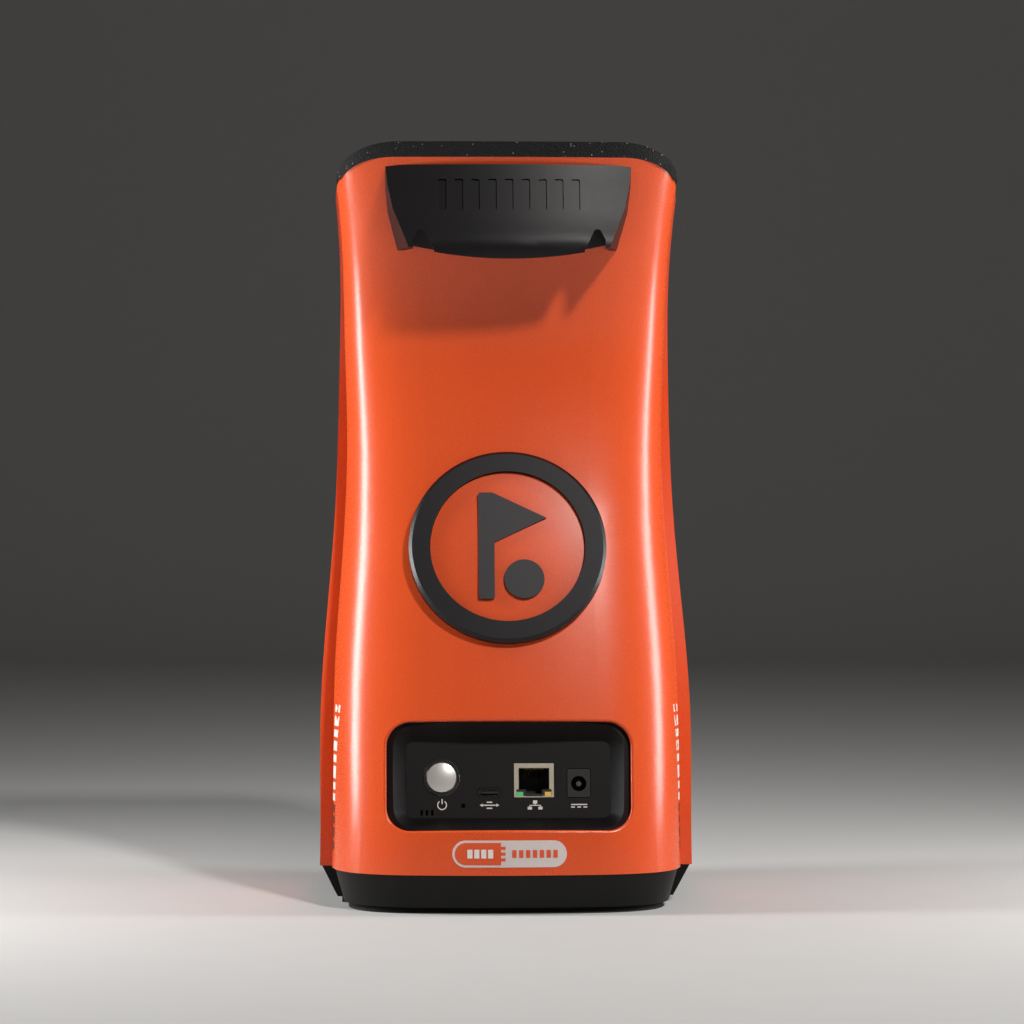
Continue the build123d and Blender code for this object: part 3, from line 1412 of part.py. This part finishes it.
HEATSINK_Y = MAIN_BOARD_Y - BOARD_T - CHIP_T
HEATSINK_SIZE = 38.0
FIN_COUNT = 8
FIN_T = 1.2
with BuildPart() as heatsink:
    with BuildSketch(Plane.XZ.offset(-HEATSINK_Y)):
        with Locations(CPU):
            Rectangle(HEATSINK_SIZE, HEATSINK_SIZE)
    extrude(amount=2.2)
    with BuildSketch(Plane.XZ.offset(-HEATSINK_Y + 2.2)):
        with Locations(CPU):
            with GridLocations((HEATSINK_SIZE - FIN_T) / (FIN_COUNT - 1), 1, FIN_COUNT, 1):
                Rectangle(FIN_T, HEATSINK_SIZE)
    extrude(amount=7)
heatsink.part.label = "heatsink"
export_step(heatsink.part, "parts/heatsink.step")

with BuildPart() as wifi_antenna:
    with BuildSketch(Plane.XZ.offset(-MAIN_BOARD_Y)):
        with Locations((24, BOARD_HIGH + 4)):
            Rectangle(34, 8)
    extrude(amount=0.8)
    with BuildSketch(Plane.XZ.offset(-MAIN_BOARD_Y + 0.8)):
        with Locations((12, BOARD_HIGH + 4), (20, BOARD_HIGH + 4), (28, BOARD_HIGH + 4), (36, BOARD_HIGH + 4)):
            Rectangle(5, 5)
    extrude(amount=0.3)
wifi_antenna.part.label = "wifi_antenna"
export_step(wifi_antenna.part, "parts/wifi_antenna.step")

with BuildPart() as beeper:
    with BuildSketch(board_back):
        with Locations((-14, 212)):
            Circle(7)
    extrude(amount=6)
    with BuildSketch(board_back.offset(6)):
        with Locations((-14, 212)):
            Circle(1.2)
    extrude(amount=-3, mode=Mode.SUBTRACT)
beeper.part.label = "beeper"
export_step(beeper.part, "parts/beeper.step")

# ---- battery ----
CELL_R = 9.2
CELL_COLUMNS = 4
CELL_PITCH = 18.8
PACK_LOW = 94.0
PACK_HIGH = 190.0
PACK_Y = -8.5
with BuildPart() as battery_pack:
    with BuildSketch(Plane.XY.offset(PACK_LOW)):
        with Locations((0, PACK_Y)):
            with GridLocations(CELL_PITCH, 1, CELL_COLUMNS, 1):
                Circle(CELL_R)
            Rectangle(CELL_PITCH * (CELL_COLUMNS - 1), 2 * CELL_R - 2)
    extrude(amount=PACK_HIGH - PACK_LOW)
    pack_faces = battery_pack.faces().sort_by(Axis.Z)
    chamfer(pack_faces[-1].edges() + pack_faces[0].edges(), 0.8)
battery_pack.part.label = "battery_pack"
export_step(battery_pack.part, "parts/battery_pack.step")

CRADLE_T = 2.0
cradle_half = CELL_PITCH * (CELL_COLUMNS - 1) / 2 + CELL_R + 0.3
cradle_y = PACK_Y + CELL_R + 0.3
with BuildPart() as battery_cradle:
    cradle_out = cradle_half + CRADLE_T
    add(box_between(-cradle_out, cradle_out, -14, cradle_y + CRADLE_T, PACK_LOW - 2.3, PACK_HIGH + 0.3))
    cradle_room = box_between(-cradle_half, cradle_half, -40, cradle_y, PACK_LOW - 0.3, PACK_HIGH + 2)
    add(cradle_room, mode=Mode.SUBTRACT)
    with BuildSketch(Plane.XZ.offset(-(cradle_y + CRADLE_T))):
        with Locations(*CRADLE_POSTS):
            Circle(4)
    extrude(amount=-(CHASSIS_Y - cradle_y - CRADLE_T))
    with BuildSketch(back_plane):
        with Locations(*CRADLE_POSTS):
            Circle(SCREW_R)
    extrude(amount=8, mode=Mode.SUBTRACT)
battery_cradle.part.label = "battery_cradle"
export_step(battery_cradle.part, "parts/battery_cradle.step")

with BuildPart() as cradle_screws:
    add(screws(front_plane, CRADLE_POSTS, 3.0, 2.0, SCREW_R - 0.05, CHASSIS_T + 6, 1.4))
cradle_screws.part.label = "cradle_screws"
export_step(cradle_screws.part, "parts/cradle_screws.step")

LEAD_R = 0.9
LEAD_BEND = 5.0
LEADS_X = [26.0, 29.0]
LEAD_RISE = 205.0
with BuildPart() as battery_lead:
    for x in LEADS_X:
        with BuildLine(Plane.YZ.offset(x)) as lead_path:
            Line((PACK_Y, PACK_HIGH), (PACK_Y, LEAD_RISE))
            CenterArc((PACK_Y + LEAD_BEND, LEAD_RISE), LEAD_BEND, 90, 90)
            Line((PACK_Y + LEAD_BEND, LEAD_RISE + LEAD_BEND), (MAIN_BOARD_Y - BOARD_T, LEAD_RISE + LEAD_BEND))
        with BuildSketch(Plane(origin=(x, PACK_Y, PACK_HIGH), z_dir=(0, 0, 1))):
            Circle(LEAD_R)
        sweep(path=lead_path.wires()[0])
battery_lead.part.label = "battery_lead"
export_step(battery_lead.part, "parts/battery_lead.step")

# ---- flat cable from the port board to the main board ----
RIBBON_X = 39.2
RIBBON_W = 5.0
RIBBON_T = 0.5
ribbon_start = PORT.from_local_coords((0, BOARD_TOP_V, BOARD_FAR_N + 4))
with BuildPart() as io_cable:
    with BuildSketch(Plane.YZ.offset(-RIBBON_X)):
        with BuildLine() as ribbon_path:
            Polyline(
                (ribbon_start.Y, ribbon_start.Z + 0.3),
                (ribbon_start.Y + 4, 56),
                (7.4, 86),
                (7.4, 190),
                (MAIN_BOARD_Y - BOARD_T - 0.3, 200),
            )
        trace(line_width=RIBBON_T)
    extrude(amount=RIBBON_W)
io_cable.part.label = "io_cable"
export_step(io_cable.part, "parts/io_cable.step")

# ---- screws under the top pad ----
with BuildPart() as shell_screws:
    tab_posts = [(x, TAB_Y) for x in TOP_TABS]
    tab_plane = Plane.XY.offset(SHELL_TOP - TAB_SINK)
    add(screws(tab_plane, tab_posts, 2.8, -TAB_SINK, SCREW_R - 0.05, -8, 1.3))
shell_screws.part.label = "shell_screws"
export_step(shell_screws.part, "parts/shell_screws.step")
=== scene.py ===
import math

import bpy
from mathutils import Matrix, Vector


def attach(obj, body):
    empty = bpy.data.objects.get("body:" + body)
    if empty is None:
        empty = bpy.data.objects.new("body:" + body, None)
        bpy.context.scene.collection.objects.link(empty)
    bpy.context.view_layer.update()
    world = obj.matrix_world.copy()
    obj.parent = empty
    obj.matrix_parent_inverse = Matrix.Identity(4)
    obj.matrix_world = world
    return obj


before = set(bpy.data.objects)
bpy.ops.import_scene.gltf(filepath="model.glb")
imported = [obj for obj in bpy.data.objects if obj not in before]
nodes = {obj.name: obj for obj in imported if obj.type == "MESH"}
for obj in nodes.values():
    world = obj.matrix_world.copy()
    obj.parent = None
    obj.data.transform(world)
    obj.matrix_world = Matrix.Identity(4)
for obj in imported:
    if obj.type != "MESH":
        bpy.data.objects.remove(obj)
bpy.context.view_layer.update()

MM = 0.001

# Ports and badge are set out on tilted planes in the part.
PORT_TILT = math.radians(10.0)
PORT_ORIGIN = Vector((0.0, -46.5, 52.0)) * MM


def port_point(u, v, n):
    """A point given in millimetres on the tilted floor of the port recess."""
    c = math.cos(PORT_TILT)
    s = math.sin(PORT_TILT)
    return PORT_ORIGIN + Vector((u, v * s - n * c, v * c + n * s)) * MM


# ---- materials ----
def new_material(name):
    mat = bpy.data.materials.new(name)
    mat.use_nodes = True
    tree = mat.node_tree
    bsdf = tree.nodes["Principled BSDF"]
    return mat, tree, bsdf


def add_node(tree, kind, **inputs):
    node = tree.nodes.new(kind)
    for key, value in inputs.items():
        node.inputs[key.replace("_", " ")].default_value = value
    return node


def object_coords(tree, scale=1.0):
    coords = tree.nodes.new("ShaderNodeTexCoord")
    mapping = tree.nodes.new("ShaderNodeMapping")
    mapping.inputs["Scale"].default_value = (scale, scale, scale)
    tree.links.new(coords.outputs["Object"], mapping.inputs["Vector"])
    return mapping.outputs["Vector"]


def mix_colour(tree, factor, first, second):
    mix = tree.nodes.new("ShaderNodeMix")
    mix.data_type = "RGBA"
    for socket, value in ((mix.inputs[0], factor), (mix.inputs[6], first), (mix.inputs[7], second)):
        if isinstance(value, bpy.types.NodeSocket):
            tree.links.new(value, socket)
        else:
            socket.default_value = value if isinstance(value, float) else (*value, 1.0)
    return mix.outputs[2]


def maths(tree, operation, *values):
    node = tree.nodes.new("ShaderNodeMath")
    node.operation = operation
    for socket, value in zip(node.inputs, values):
        if isinstance(value, bpy.types.NodeSocket):
            tree.links.new(value, socket)
        else:
            socket.default_value = value
    return node.outputs[0]


def surface(
    name, colour, vary=0.08, rough=0.45, rough_vary=0.05, metal=0.0, grain=900.0, bump=0.0, coat=0.0, spec=0.5
):
    """A plastic, rubber or metal whose colour and gloss wander a little over its surface."""
    mat, tree, bsdf = new_material(name)
    vector = object_coords(tree)
    blotch = add_node(tree, "ShaderNodeTexNoise", Scale=38.0, Detail=3.0)
    tree.links.new(vector, blotch.inputs["Vector"])
    fine = add_node(tree, "ShaderNodeTexNoise", Scale=grain, Detail=2.0)
    tree.links.new(vector, fine.inputs["Vector"])
    dark = tuple(c * (1.0 - vary) for c in colour)
    light = tuple(min(1.0, c * (1.0 + vary)) for c in colour)
    tree.links.new(mix_colour(tree, blotch.outputs["Fac"], dark, light), bsdf.inputs["Base Color"])
    wander = maths(tree, "MULTIPLY_ADD", fine.outputs["Fac"], 2 * rough_vary, rough - rough_vary)
    tree.links.new(wander, bsdf.inputs["Roughness"])
    bsdf.inputs["Metallic"].default_value = metal
    bsdf.inputs["Specular IOR Level"].default_value = spec
    bsdf.inputs["Coat Weight"].default_value = coat
    bsdf.inputs["Coat Roughness"].default_value = 0.2
    if bump:
        relief = add_node(tree, "ShaderNodeBump", Strength=bump, Distance=0.0002)
        tree.links.new(fine.outputs["Fac"], relief.inputs["Height"])
        tree.links.new(relief.outputs["Normal"], bsdf.inputs["Normal"])
    return mat


ORANGE = (0.68, 0.080, 0.017)
orange = surface("orange_plastic", ORANGE, vary=0.04, rough=0.27, grain=2600.0, bump=0.03, spec=0.5)
soft_black = surface(
    "black_soft", (0.007, 0.006, 0.007), vary=0.25, rough=0.42, grain=2200.0, bump=0.12, spec=0.22
)
base_black = surface(
    "base_black", (0.005, 0.005, 0.004), vary=0.25, rough=0.5, grain=1800.0, bump=0.1, spec=0.2
)
panel_black = surface(
    "black_panel", (0.006, 0.005, 0.005), vary=0.2, rough=0.45, grain=2400.0, bump=0.15, spec=0.25
)
gloss_black = surface(
    "black_gloss", (0.005, 0.004, 0.005), vary=0.2, rough=0.32, grain=2600.0, bump=0.03, spec=0.3
)
emblem_black = surface(
    "emblem_black", (0.016, 0.012, 0.015), vary=0.2, rough=0.42, grain=2600.0, bump=0.05, spec=0.35
)
gasket = surface("gasket_rubber", (0.012, 0.012, 0.012), vary=0.3, rough=0.7)
silver = surface("silver_button", (0.62, 0.60, 0.57), vary=0.05, rough=0.36, metal=0.4, grain=3000.0, bump=0.04)
bright = surface("bright_rim", (0.72, 0.70, 0.67), vary=0.05, rough=0.16, metal=1.0)
jack = surface("jack_metal", (0.66, 0.60, 0.46), vary=0.1, rough=0.38, metal=0.75, grain=1500.0, bump=0.05)
jack_black = surface("jack_black", (0.010, 0.010, 0.010), vary=0.3, rough=0.45)
gold = surface("gold_contact", (0.85, 0.58, 0.22), vary=0.08, rough=0.25, metal=1.0)
green_lamp = surface("green_light", (0.10, 0.62, 0.20), vary=0.15, rough=0.3)
yellow_lamp = surface("yellow_light", (0.85, 0.55, 0.10), vary=0.15, rough=0.3)
pin_metal = surface("pin_metal", (0.70, 0.69, 0.67), vary=0.05, rough=0.22, metal=1.0)
aluminium = surface("aluminium", (0.62, 0.62, 0.64), vary=0.06, rough=0.38, metal=1.0, grain=1200.0, bump=0.05)
camera_black = surface("camera_black", (0.015, 0.015, 0.017), vary=0.2, rough=0.35)
circuit = surface("circuit_green", (0.015, 0.11, 0.05), vary=0.25, rough=0.4)
circuit_white = surface("circuit_white", (0.65, 0.65, 0.62), vary=0.06, rough=0.5)
chip = surface("chip_black", (0.02, 0.02, 0.022), vary=0.2, rough=0.5)
wrap = surface("battery_wrap", (0.03, 0.09, 0.28), vary=0.12, rough=0.3)
cradle = surface("cradle_plastic", (0.05, 0.05, 0.05), vary=0.2, rough=0.55)
wire = surface("wire", (0.45, 0.02, 0.015), vary=0.12, rough=0.45)
ribbon = surface("ribbon", (0.42, 0.20, 0.05), vary=0.12, rough=0.3)
steel = surface("screw_steel", (0.45, 0.45, 0.46), vary=0.1, rough=0.3, metal=1.0)
pale_print = surface("pale_print", (0.62, 0.55, 0.53), vary=0.05, rough=0.5)
display_face = surface("display", (0.015, 0.022, 0.028), vary=0.2, rough=0.2)


def rubber_pad():
    """Coarse black rubber granules; a few tiny pale dots are painted glints that stand in for highlights on the
    grains.
    """
    mat, tree, bsdf = new_material("black_rubber")
    vector = object_coords(tree)
    cells = add_node(tree, "ShaderNodeTexVoronoi", Scale=1700.0)
    tree.links.new(vector, cells.inputs["Vector"])
    # Painted highlights: a few small grains get a pale base colour in place of the glints of light on them.
    chosen = maths(tree, "GREATER_THAN", add_separate(tree, cells.outputs["Color"]), 0.975)
    small = maths(tree, "LESS_THAN", cells.outputs["Distance"], 0.34)
    painted_glint = maths(tree, "MULTIPLY", chosen, small)
    blotch = add_node(tree, "ShaderNodeTexNoise", Scale=900.0, Detail=4.0)
    tree.links.new(vector, blotch.inputs["Vector"])
    black = mix_colour(tree, blotch.outputs["Fac"], (0.001, 0.001, 0.001), (0.011, 0.010, 0.011))
    tree.links.new(mix_colour(tree, painted_glint, black, (0.36, 0.35, 0.34)), bsdf.inputs["Base Color"])
    bsdf.inputs["Roughness"].default_value = 0.62
    bsdf.inputs["Specular IOR Level"].default_value = 0.18
    relief = add_node(tree, "ShaderNodeBump", Strength=0.7, Distance=0.0004)
    tree.links.new(cells.outputs["Distance"], relief.inputs["Height"])
    tree.links.new(relief.outputs["Normal"], bsdf.inputs["Normal"])
    return mat


def add_separate(tree, colour):
    split = tree.nodes.new("ShaderNodeSeparateColor")
    tree.links.new(colour, split.inputs["Color"])
    return split.outputs["Red"]


def glass(name, tint, rough, ior, clear):
    mat, tree, bsdf = new_material(name)
    vector = object_coords(tree)
    haze = add_node(tree, "ShaderNodeTexNoise", Scale=60.0, Detail=2.0)
    tree.links.new(vector, haze.inputs["Vector"])
    tree.links.new(maths(tree, "MULTIPLY_ADD", haze.outputs["Fac"], 0.03, rough), bsdf.inputs["Roughness"])
    deep = tuple(c * 0.85 for c in tint)
    tree.links.new(mix_colour(tree, haze.outputs["Fac"], deep, tint), bsdf.inputs["Base Color"])
    bsdf.inputs["Transmission Weight"].default_value = clear
    bsdf.inputs["IOR"].default_value = ior
    return mat


dark_glass = glass("dark_glass", (0.010, 0.006, 0.010), 0.04, 1.49, 0.25)
clear_glass = glass("clear_glass", (0.55, 0.57, 0.60), 0.03, 1.5, 0.9)
lens_glass = glass("lens_glass", (0.25, 0.20, 0.45), 0.02, 1.6, 0.6)
strobe_clear = glass("strobe_clear", (0.85, 0.82, 0.80), 0.06, 1.5, 0.7)
pad_rubber = rubber_pad()

FINISH = {
    "rear_shell": orange, "front_housing": orange, "badge_disc": orange,
    "top_pad": pad_rubber, "foot_pad": gasket,
    "handle_hood": soft_black, "handle_liner": soft_black, "base_tray": base_black,
    "io_panel": panel_black, "front_bezel": panel_black,
    "badge_ring": gloss_black, "badge_emblem": emblem_black, "feature_label": pale_print,
    "shell_gasket": gasket, "io_panel_gasket": gasket, "window_gasket": gasket, "display_gasket": gasket,
    "power_button": silver, "button_rim": bright, "ethernet_shell": jack, "usb_c_shell": bright,
    "ethernet_body": jack_black, "usb_c_tongue": jack_black, "dc_jack_body": jack_black,
    "power_switch_body": jack_black, "reset_switch_body": jack_black, "power_switch_plunger": jack_black,
    "reset_switch_plunger": jack_black, "beeper": jack_black,
    "ethernet_contacts": gold, "ethernet_led_green": green_lamp, "ethernet_led_yellow": yellow_lamp,
    "dc_jack_pin": pin_metal, "camera_window": dark_glass, "display_glass": clear_glass,
    "display_module": display_face, "chassis": aluminium, "camera_rail": aluminium, "heatsink": aluminium,
    "camera_barrels": camera_black, "camera_lenses": lens_glass,
    "camera_boards": circuit, "io_board": circuit, "button_board": circuit, "main_board": circuit,
    "wifi_antenna": circuit, "strobe_boards": circuit_white, "strobe_leds": strobe_clear,
    "processor_chips": chip, "battery_pack": wrap, "battery_cradle": cradle, "battery_lead": wire,
    "io_cable": ribbon,
    "base_screws": steel, "shell_screws": steel, "handle_screws": steel, "chassis_screws": steel,
    "cradle_screws": steel, "main_board_screws": steel, "io_board_screws": steel,
}
for node_name, finish in FINISH.items():
    mesh = nodes[node_name].data
    mesh.materials.clear()
    mesh.materials.append(finish)

# ---- printed graphics ----
PRINT_T = 0.12
orange_print = surface("orange_print", ORANGE, vary=0.04, rough=0.45, grain=2600.0)
white_print = surface("white_print", (0.72, 0.70, 0.66), vary=0.05, rough=0.5)
dark_print = surface("dark_print", (0.05, 0.02, 0.012), vary=0.2, rough=0.5)


def mesh_piece(name, verts, faces, material):
    """A new piece from vertices in metres. It rides on the housing."""
    mesh = bpy.data.meshes.new(name)
    mesh.from_pydata([tuple(v) for v in verts], [], faces)
    mesh.validate()
    obj = bpy.data.objects.new(name, mesh)
    bpy.context.scene.collection.objects.link(obj)
    mesh.materials.append(material)
    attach(obj, "housing")
    return obj


def prisms(name, outlines, place, material):
    """Flat outlines raised into thin plates. place(u, v, top) gives each point in metres."""
    verts = []
    faces = []
    for outline in outlines:
        start = len(verts)
        count = len(outline)
        for top in (False, True):
            verts.extend(place(u, v, top) for u, v in outline)
        faces.append(tuple(start + count + i for i in range(count)))
        faces.append(tuple(start + count - 1 - i for i in range(count)))
        for i in range(count):
            k = (i + 1) % count
            faces.append((start + i, start + k, start + count + k, start + count + i))
    return mesh_piece(name, verts, faces, material)


def bar(u0, v0, u1, v1, width):
    """The four corners of a straight stroke."""
    length = math.hypot(u1 - u0, v1 - v0)
    du = (v1 - v0) / length * width / 2
    dv = (u1 - u0) / length * width / 2
    return [(u0 + du, v0 - dv), (u1 + du, v1 - dv), (u1 - du, v1 + dv), (u0 - du, v0 + dv)]


def ring_parts(u, v, radius, width, start, sweep, steps):
    """An arc stroke as a row of quads, counterclockwise, angles in degrees."""
    parts = []
    for i in range(steps):
        a = math.radians(start + sweep * i / steps)
        b = math.radians(start + sweep * (i + 1) / steps)
        inner = radius - width / 2
        outer = radius + width / 2
        parts.append([
            (u + inner * math.cos(a), v + inner * math.sin(a)),
            (u + outer * math.cos(a), v + outer * math.sin(a)),
            (u + outer * math.cos(b), v + outer * math.sin(b)),
            (u + inner * math.cos(b), v + inner * math.sin(b)),
        ])
    return parts


def box_outline(u, v, width, height):
    return [
        (u - width / 2, v - height / 2), (u + width / 2, v - height / 2),
        (u + width / 2, v + height / 2), (u - width / 2, v + height / 2),
    ]


def on_panel(u, v, top):
    return port_point(u, v, 0.10 if top else 0.0)


# Symbols under the ports: power, data, network and direct current.
power_sign = ring_parts(-26.3, -10.0, 1.75, 0.42, 125.0, 290.0, 22) + [bar(-26.3, -9.6, -26.3, -7.6, 0.45)]
data_sign = [
    bar(-10.6, -10.1, -4.4, -10.1, 0.42), [(-11.4, -10.1), (-10.2, -10.8), (-10.2, -9.4)],
    [(-3.6, -10.1), (-4.8, -9.4), (-4.8, -10.8)],
    bar(-8.6, -8.9, -6.4, -8.9, 0.5), bar(-8.6, -11.3, -6.4, -11.3, 0.5),
]
network_sign = [
    box_outline(10.6, -8.9, 1.7, 1.3), bar(10.6, -9.5, 10.6, -10.2, 0.35), bar(8.5, -10.2, 12.7, -10.2, 0.35),
    bar(8.5, -10.2, 8.5, -10.9, 0.35), bar(12.7, -10.2, 12.7, -10.9, 0.35),
    box_outline(8.5, -11.3, 1.7, 1.1), box_outline(12.7, -11.3, 1.7, 1.1),
]
current_dashes = [bar(c - 0.75, -10.9, c + 0.75, -10.9, 0.45) for c in (25.65, 28.1, 30.55)]
current_sign = [bar(24.9, -9.9, 31.3, -9.9, 0.45)] + current_dashes
signs = power_sign + data_sign + network_sign + current_sign
prisms("panel_symbols", signs, on_panel, white_print)


def ray_place(obj, lift):
    """Gives a placer that lands x, z in millimetres on the rear of obj, with the surface's normal."""
    def place(x, z, top):
        hit, point, normal, _ = obj.ray_cast(Vector((x, -200.0, z)) * MM, Vector((0.0, 1.0, 0.0)))
        if not hit:
            raise ValueError("nothing behind the print")
        return point + normal * ((lift + (PRINT_T if top else 0.0)) * MM)
    return place


def strips(outlines, step):
    """Cuts each wide box outline into narrow ones, so that the print follows a curved wall."""
    out = []
    for u0, v0, u1, v1 in outlines:
        count = max(1, math.ceil(abs(u1 - u0) / step))
        for i in range(count):
            a = u0 + (u1 - u0) * i / count
            b = u0 + (u1 - u0) * (i + 1) / count
            out.append([(a, v0), (b, v0), (b, v1), (a, v1)])
    return out


# The pill label's left end is body-coloured inside a pale border, with plain bars for its two words.
LABEL_Z = 24.2
END_X = -17.2
END_R = 4.35
label_place = ray_place(nodes["feature_label"], 0.02)
left_fill = []
SEGMENTS = 12
for i in range(SEGMENTS):
    a = math.radians(90.0 + 180.0 * i / SEGMENTS)
    b = math.radians(90.0 + 180.0 * (i + 1) / SEGMENTS)
    left_fill.append([
        (END_X, LABEL_Z),
        (END_X + END_R * math.cos(a), LABEL_Z + END_R * math.sin(a)),
        (END_X + END_R * math.cos(b), LABEL_Z + END_R * math.sin(b)),
    ])
left_fill += strips([(END_X, LABEL_Z - END_R, -3.4, LABEL_Z + END_R)], 1.5)
teeth = [(-3.4, LABEL_Z + 0.75 + k, -1.6, LABEL_Z + 1.95 + k) for k in (-3.6, -1.35, 0.9)]
left_fill += strips(teeth, 1.5)
prisms("label_left_fill", left_fill, label_place, orange_print)
raised = ray_place(nodes["feature_label"], 0.15)
bars_left = [(x, LABEL_Z - 1.7, x + 2.0, LABEL_Z + 1.7) for x in (-16.6, -13.9, -11.2, -8.5)]
word_left = strips(bars_left, 1.0)
prisms("label_left_bars", word_left, raised, white_print)
bars_right = [(x, LABEL_Z - 1.5, x + 1.7, LABEL_Z + 1.5) for x in (1.0, 3.7, 6.4, 9.1, 11.8, 14.5, 17.2)]
word_right = strips(bars_right, 1.0)
prisms("label_right_bars", word_right, label_place, orange_print)


# Plain bars up both sides of the rear shell, beside the step, stand for its side lettering.
def side_place(side, lift=0.02):
    shell = nodes["rear_shell"]

    def place(y, z, top):
        start = Vector((side * 120.0, y, z)) * MM
        hit, point, normal, _ = shell.ray_cast(start, Vector((-side, 0.0, 0.0)))
        if not hit:
            raise ValueError("nothing beside the print")
        return point + normal * ((lift + (PRINT_T if top else 0.0)) * MM)
    return place


SIDE_BACK = -33.5
SIDE_FRONT = -27.5
PALE_MARKS = [
    (78.0, 81.0), (72.5, 76.5), (68.0, 71.0), (62.5, 66.5),
    (58.0, 61.0), (51.5, 56.5), (47.0, 50.0), (42.5, 45.5),
]
DARK_MARKS = [(38.0, 41.0), (33.5, 36.5), (28.0, 32.0), (23.0, 26.5)]
for side, tag in ((-1, "left"), (1, "right")):
    pale = (PALE_MARKS, white_print, "label_grey", "pale")
    dark = (DARK_MARKS, dark_print, "black_panel", "dark")
    for marks, colour, slot_name, word in (pale, dark):
        outlines = [
            [(SIDE_BACK, z0), (SIDE_FRONT, z0), (SIDE_FRONT, z1), (SIDE_BACK, z1)] for z0, z1 in marks
        ]
        if side > 0:
            outlines = [outline[::-1] for outline in outlines]
        prisms(f"side_marks_{word}_{tag}", outlines, side_place(side), colour)

# ---- stage: pale floor and backdrop in one sweep ----
FLOOR_HALF = 6.0
WALL_Y = 3.2
BEND = 1.2
profile = [(-FLOOR_HALF, 0.0), (WALL_Y - BEND, 0.0)]
for step in range(1, 9):
    angle = math.radians(90.0 * step / 8)
    profile.append((WALL_Y - BEND + BEND * math.sin(angle), BEND - BEND * math.cos(angle)))
profile.append((WALL_Y, 5.0))
verts = [(x, y, z) for y, z in profile for x in (-FLOOR_HALF, FLOOR_HALF)]
faces = [(2 * i, 2 * i + 1, 2 * i + 3, 2 * i + 2) for i in range(len(profile) - 1)]
sweep_mesh = bpy.data.meshes.new("studio_sweep")
sweep_mesh.from_pydata(verts, [], faces)
sweep_mesh.polygons.foreach_set("use_smooth", [True] * len(faces))
sweep = bpy.data.objects.new("studio_sweep", sweep_mesh)
bpy.context.scene.collection.objects.link(sweep)
sweep_mesh.materials.append(surface("studio_paper", (0.50, 0.50, 0.49), vary=0.02, rough=0.85))


# ---- lights ----
def area_light(name, place, target, size, power, colour=(1.0, 1.0, 1.0)):
    data = bpy.data.lights.new(name, "AREA")
    data.shape = "RECTANGLE"
    data.size, data.size_y = size
    data.energy = power
    data.color = colour
    lamp = bpy.data.objects.new(name, data)
    lamp.location = place
    aim = Vector(target) - Vector(place)
    lamp.rotation_euler = aim.to_track_quat("-Z", "Y").to_euler()
    bpy.context.scene.collection.objects.link(lamp)
    return lamp


area_light("left_strip", (-0.50, -0.055, 0.26), (0.0, -0.03, 0.14), (0.09, 0.42), 3.6)
area_light("right_strip", (0.50, -0.055, 0.26), (0.0, -0.03, 0.14), (0.09, 0.42), 2.4)
area_light("key", (0.52, -1.15, 1.10), (0.0, -0.04, 0.20), (0.14, 0.14), 16.0, (1.0, 0.97, 0.94))
area_light("fill", (-0.7, -1.6, 0.6), (0.0, 0.0, 0.15), (1.0, 1.0), 0.12)
area_light("top", (0.0, 0.35, 1.5), (0.0, 0.1, 0.2), (0.8, 0.8), 0.9)

world = bpy.data.worlds.new("studio_air")
world.use_nodes = True
world.node_tree.nodes["Background"].inputs["Color"].default_value = (0.75, 0.78, 0.82, 1.0)
world.node_tree.nodes["Background"].inputs["Strength"].default_value = 0.014
bpy.context.scene.world = world
bpy.context.scene.view_settings.view_transform = "Standard"

# ---- camera, at the photograph's angle ----
DISTANCE = 1.350
REAR_Y = -0.063
CAMERA_HEIGHT = 0.165
AZIMUTH = math.radians(-2.0)
LENS = 121.0078
SENSOR = 36.0
AIM_OFFSET = math.radians(-0.038286)
TILT_DOWN = math.radians(0.278820)
camera_data = bpy.data.cameras.new("camera")
camera_data.sensor_width = SENSOR
camera_data.lens = LENS
camera = bpy.data.objects.new("camera", camera_data)
camera.location = (DISTANCE * math.sin(AZIMUTH), REAR_Y - DISTANCE * math.cos(AZIMUTH), CAMERA_HEIGHT)
camera.rotation_euler = (math.radians(90.0) - TILT_DOWN, 0.0, AZIMUTH + AIM_OFFSET)
bpy.context.scene.collection.objects.link(camera)
bpy.context.scene.camera = camera
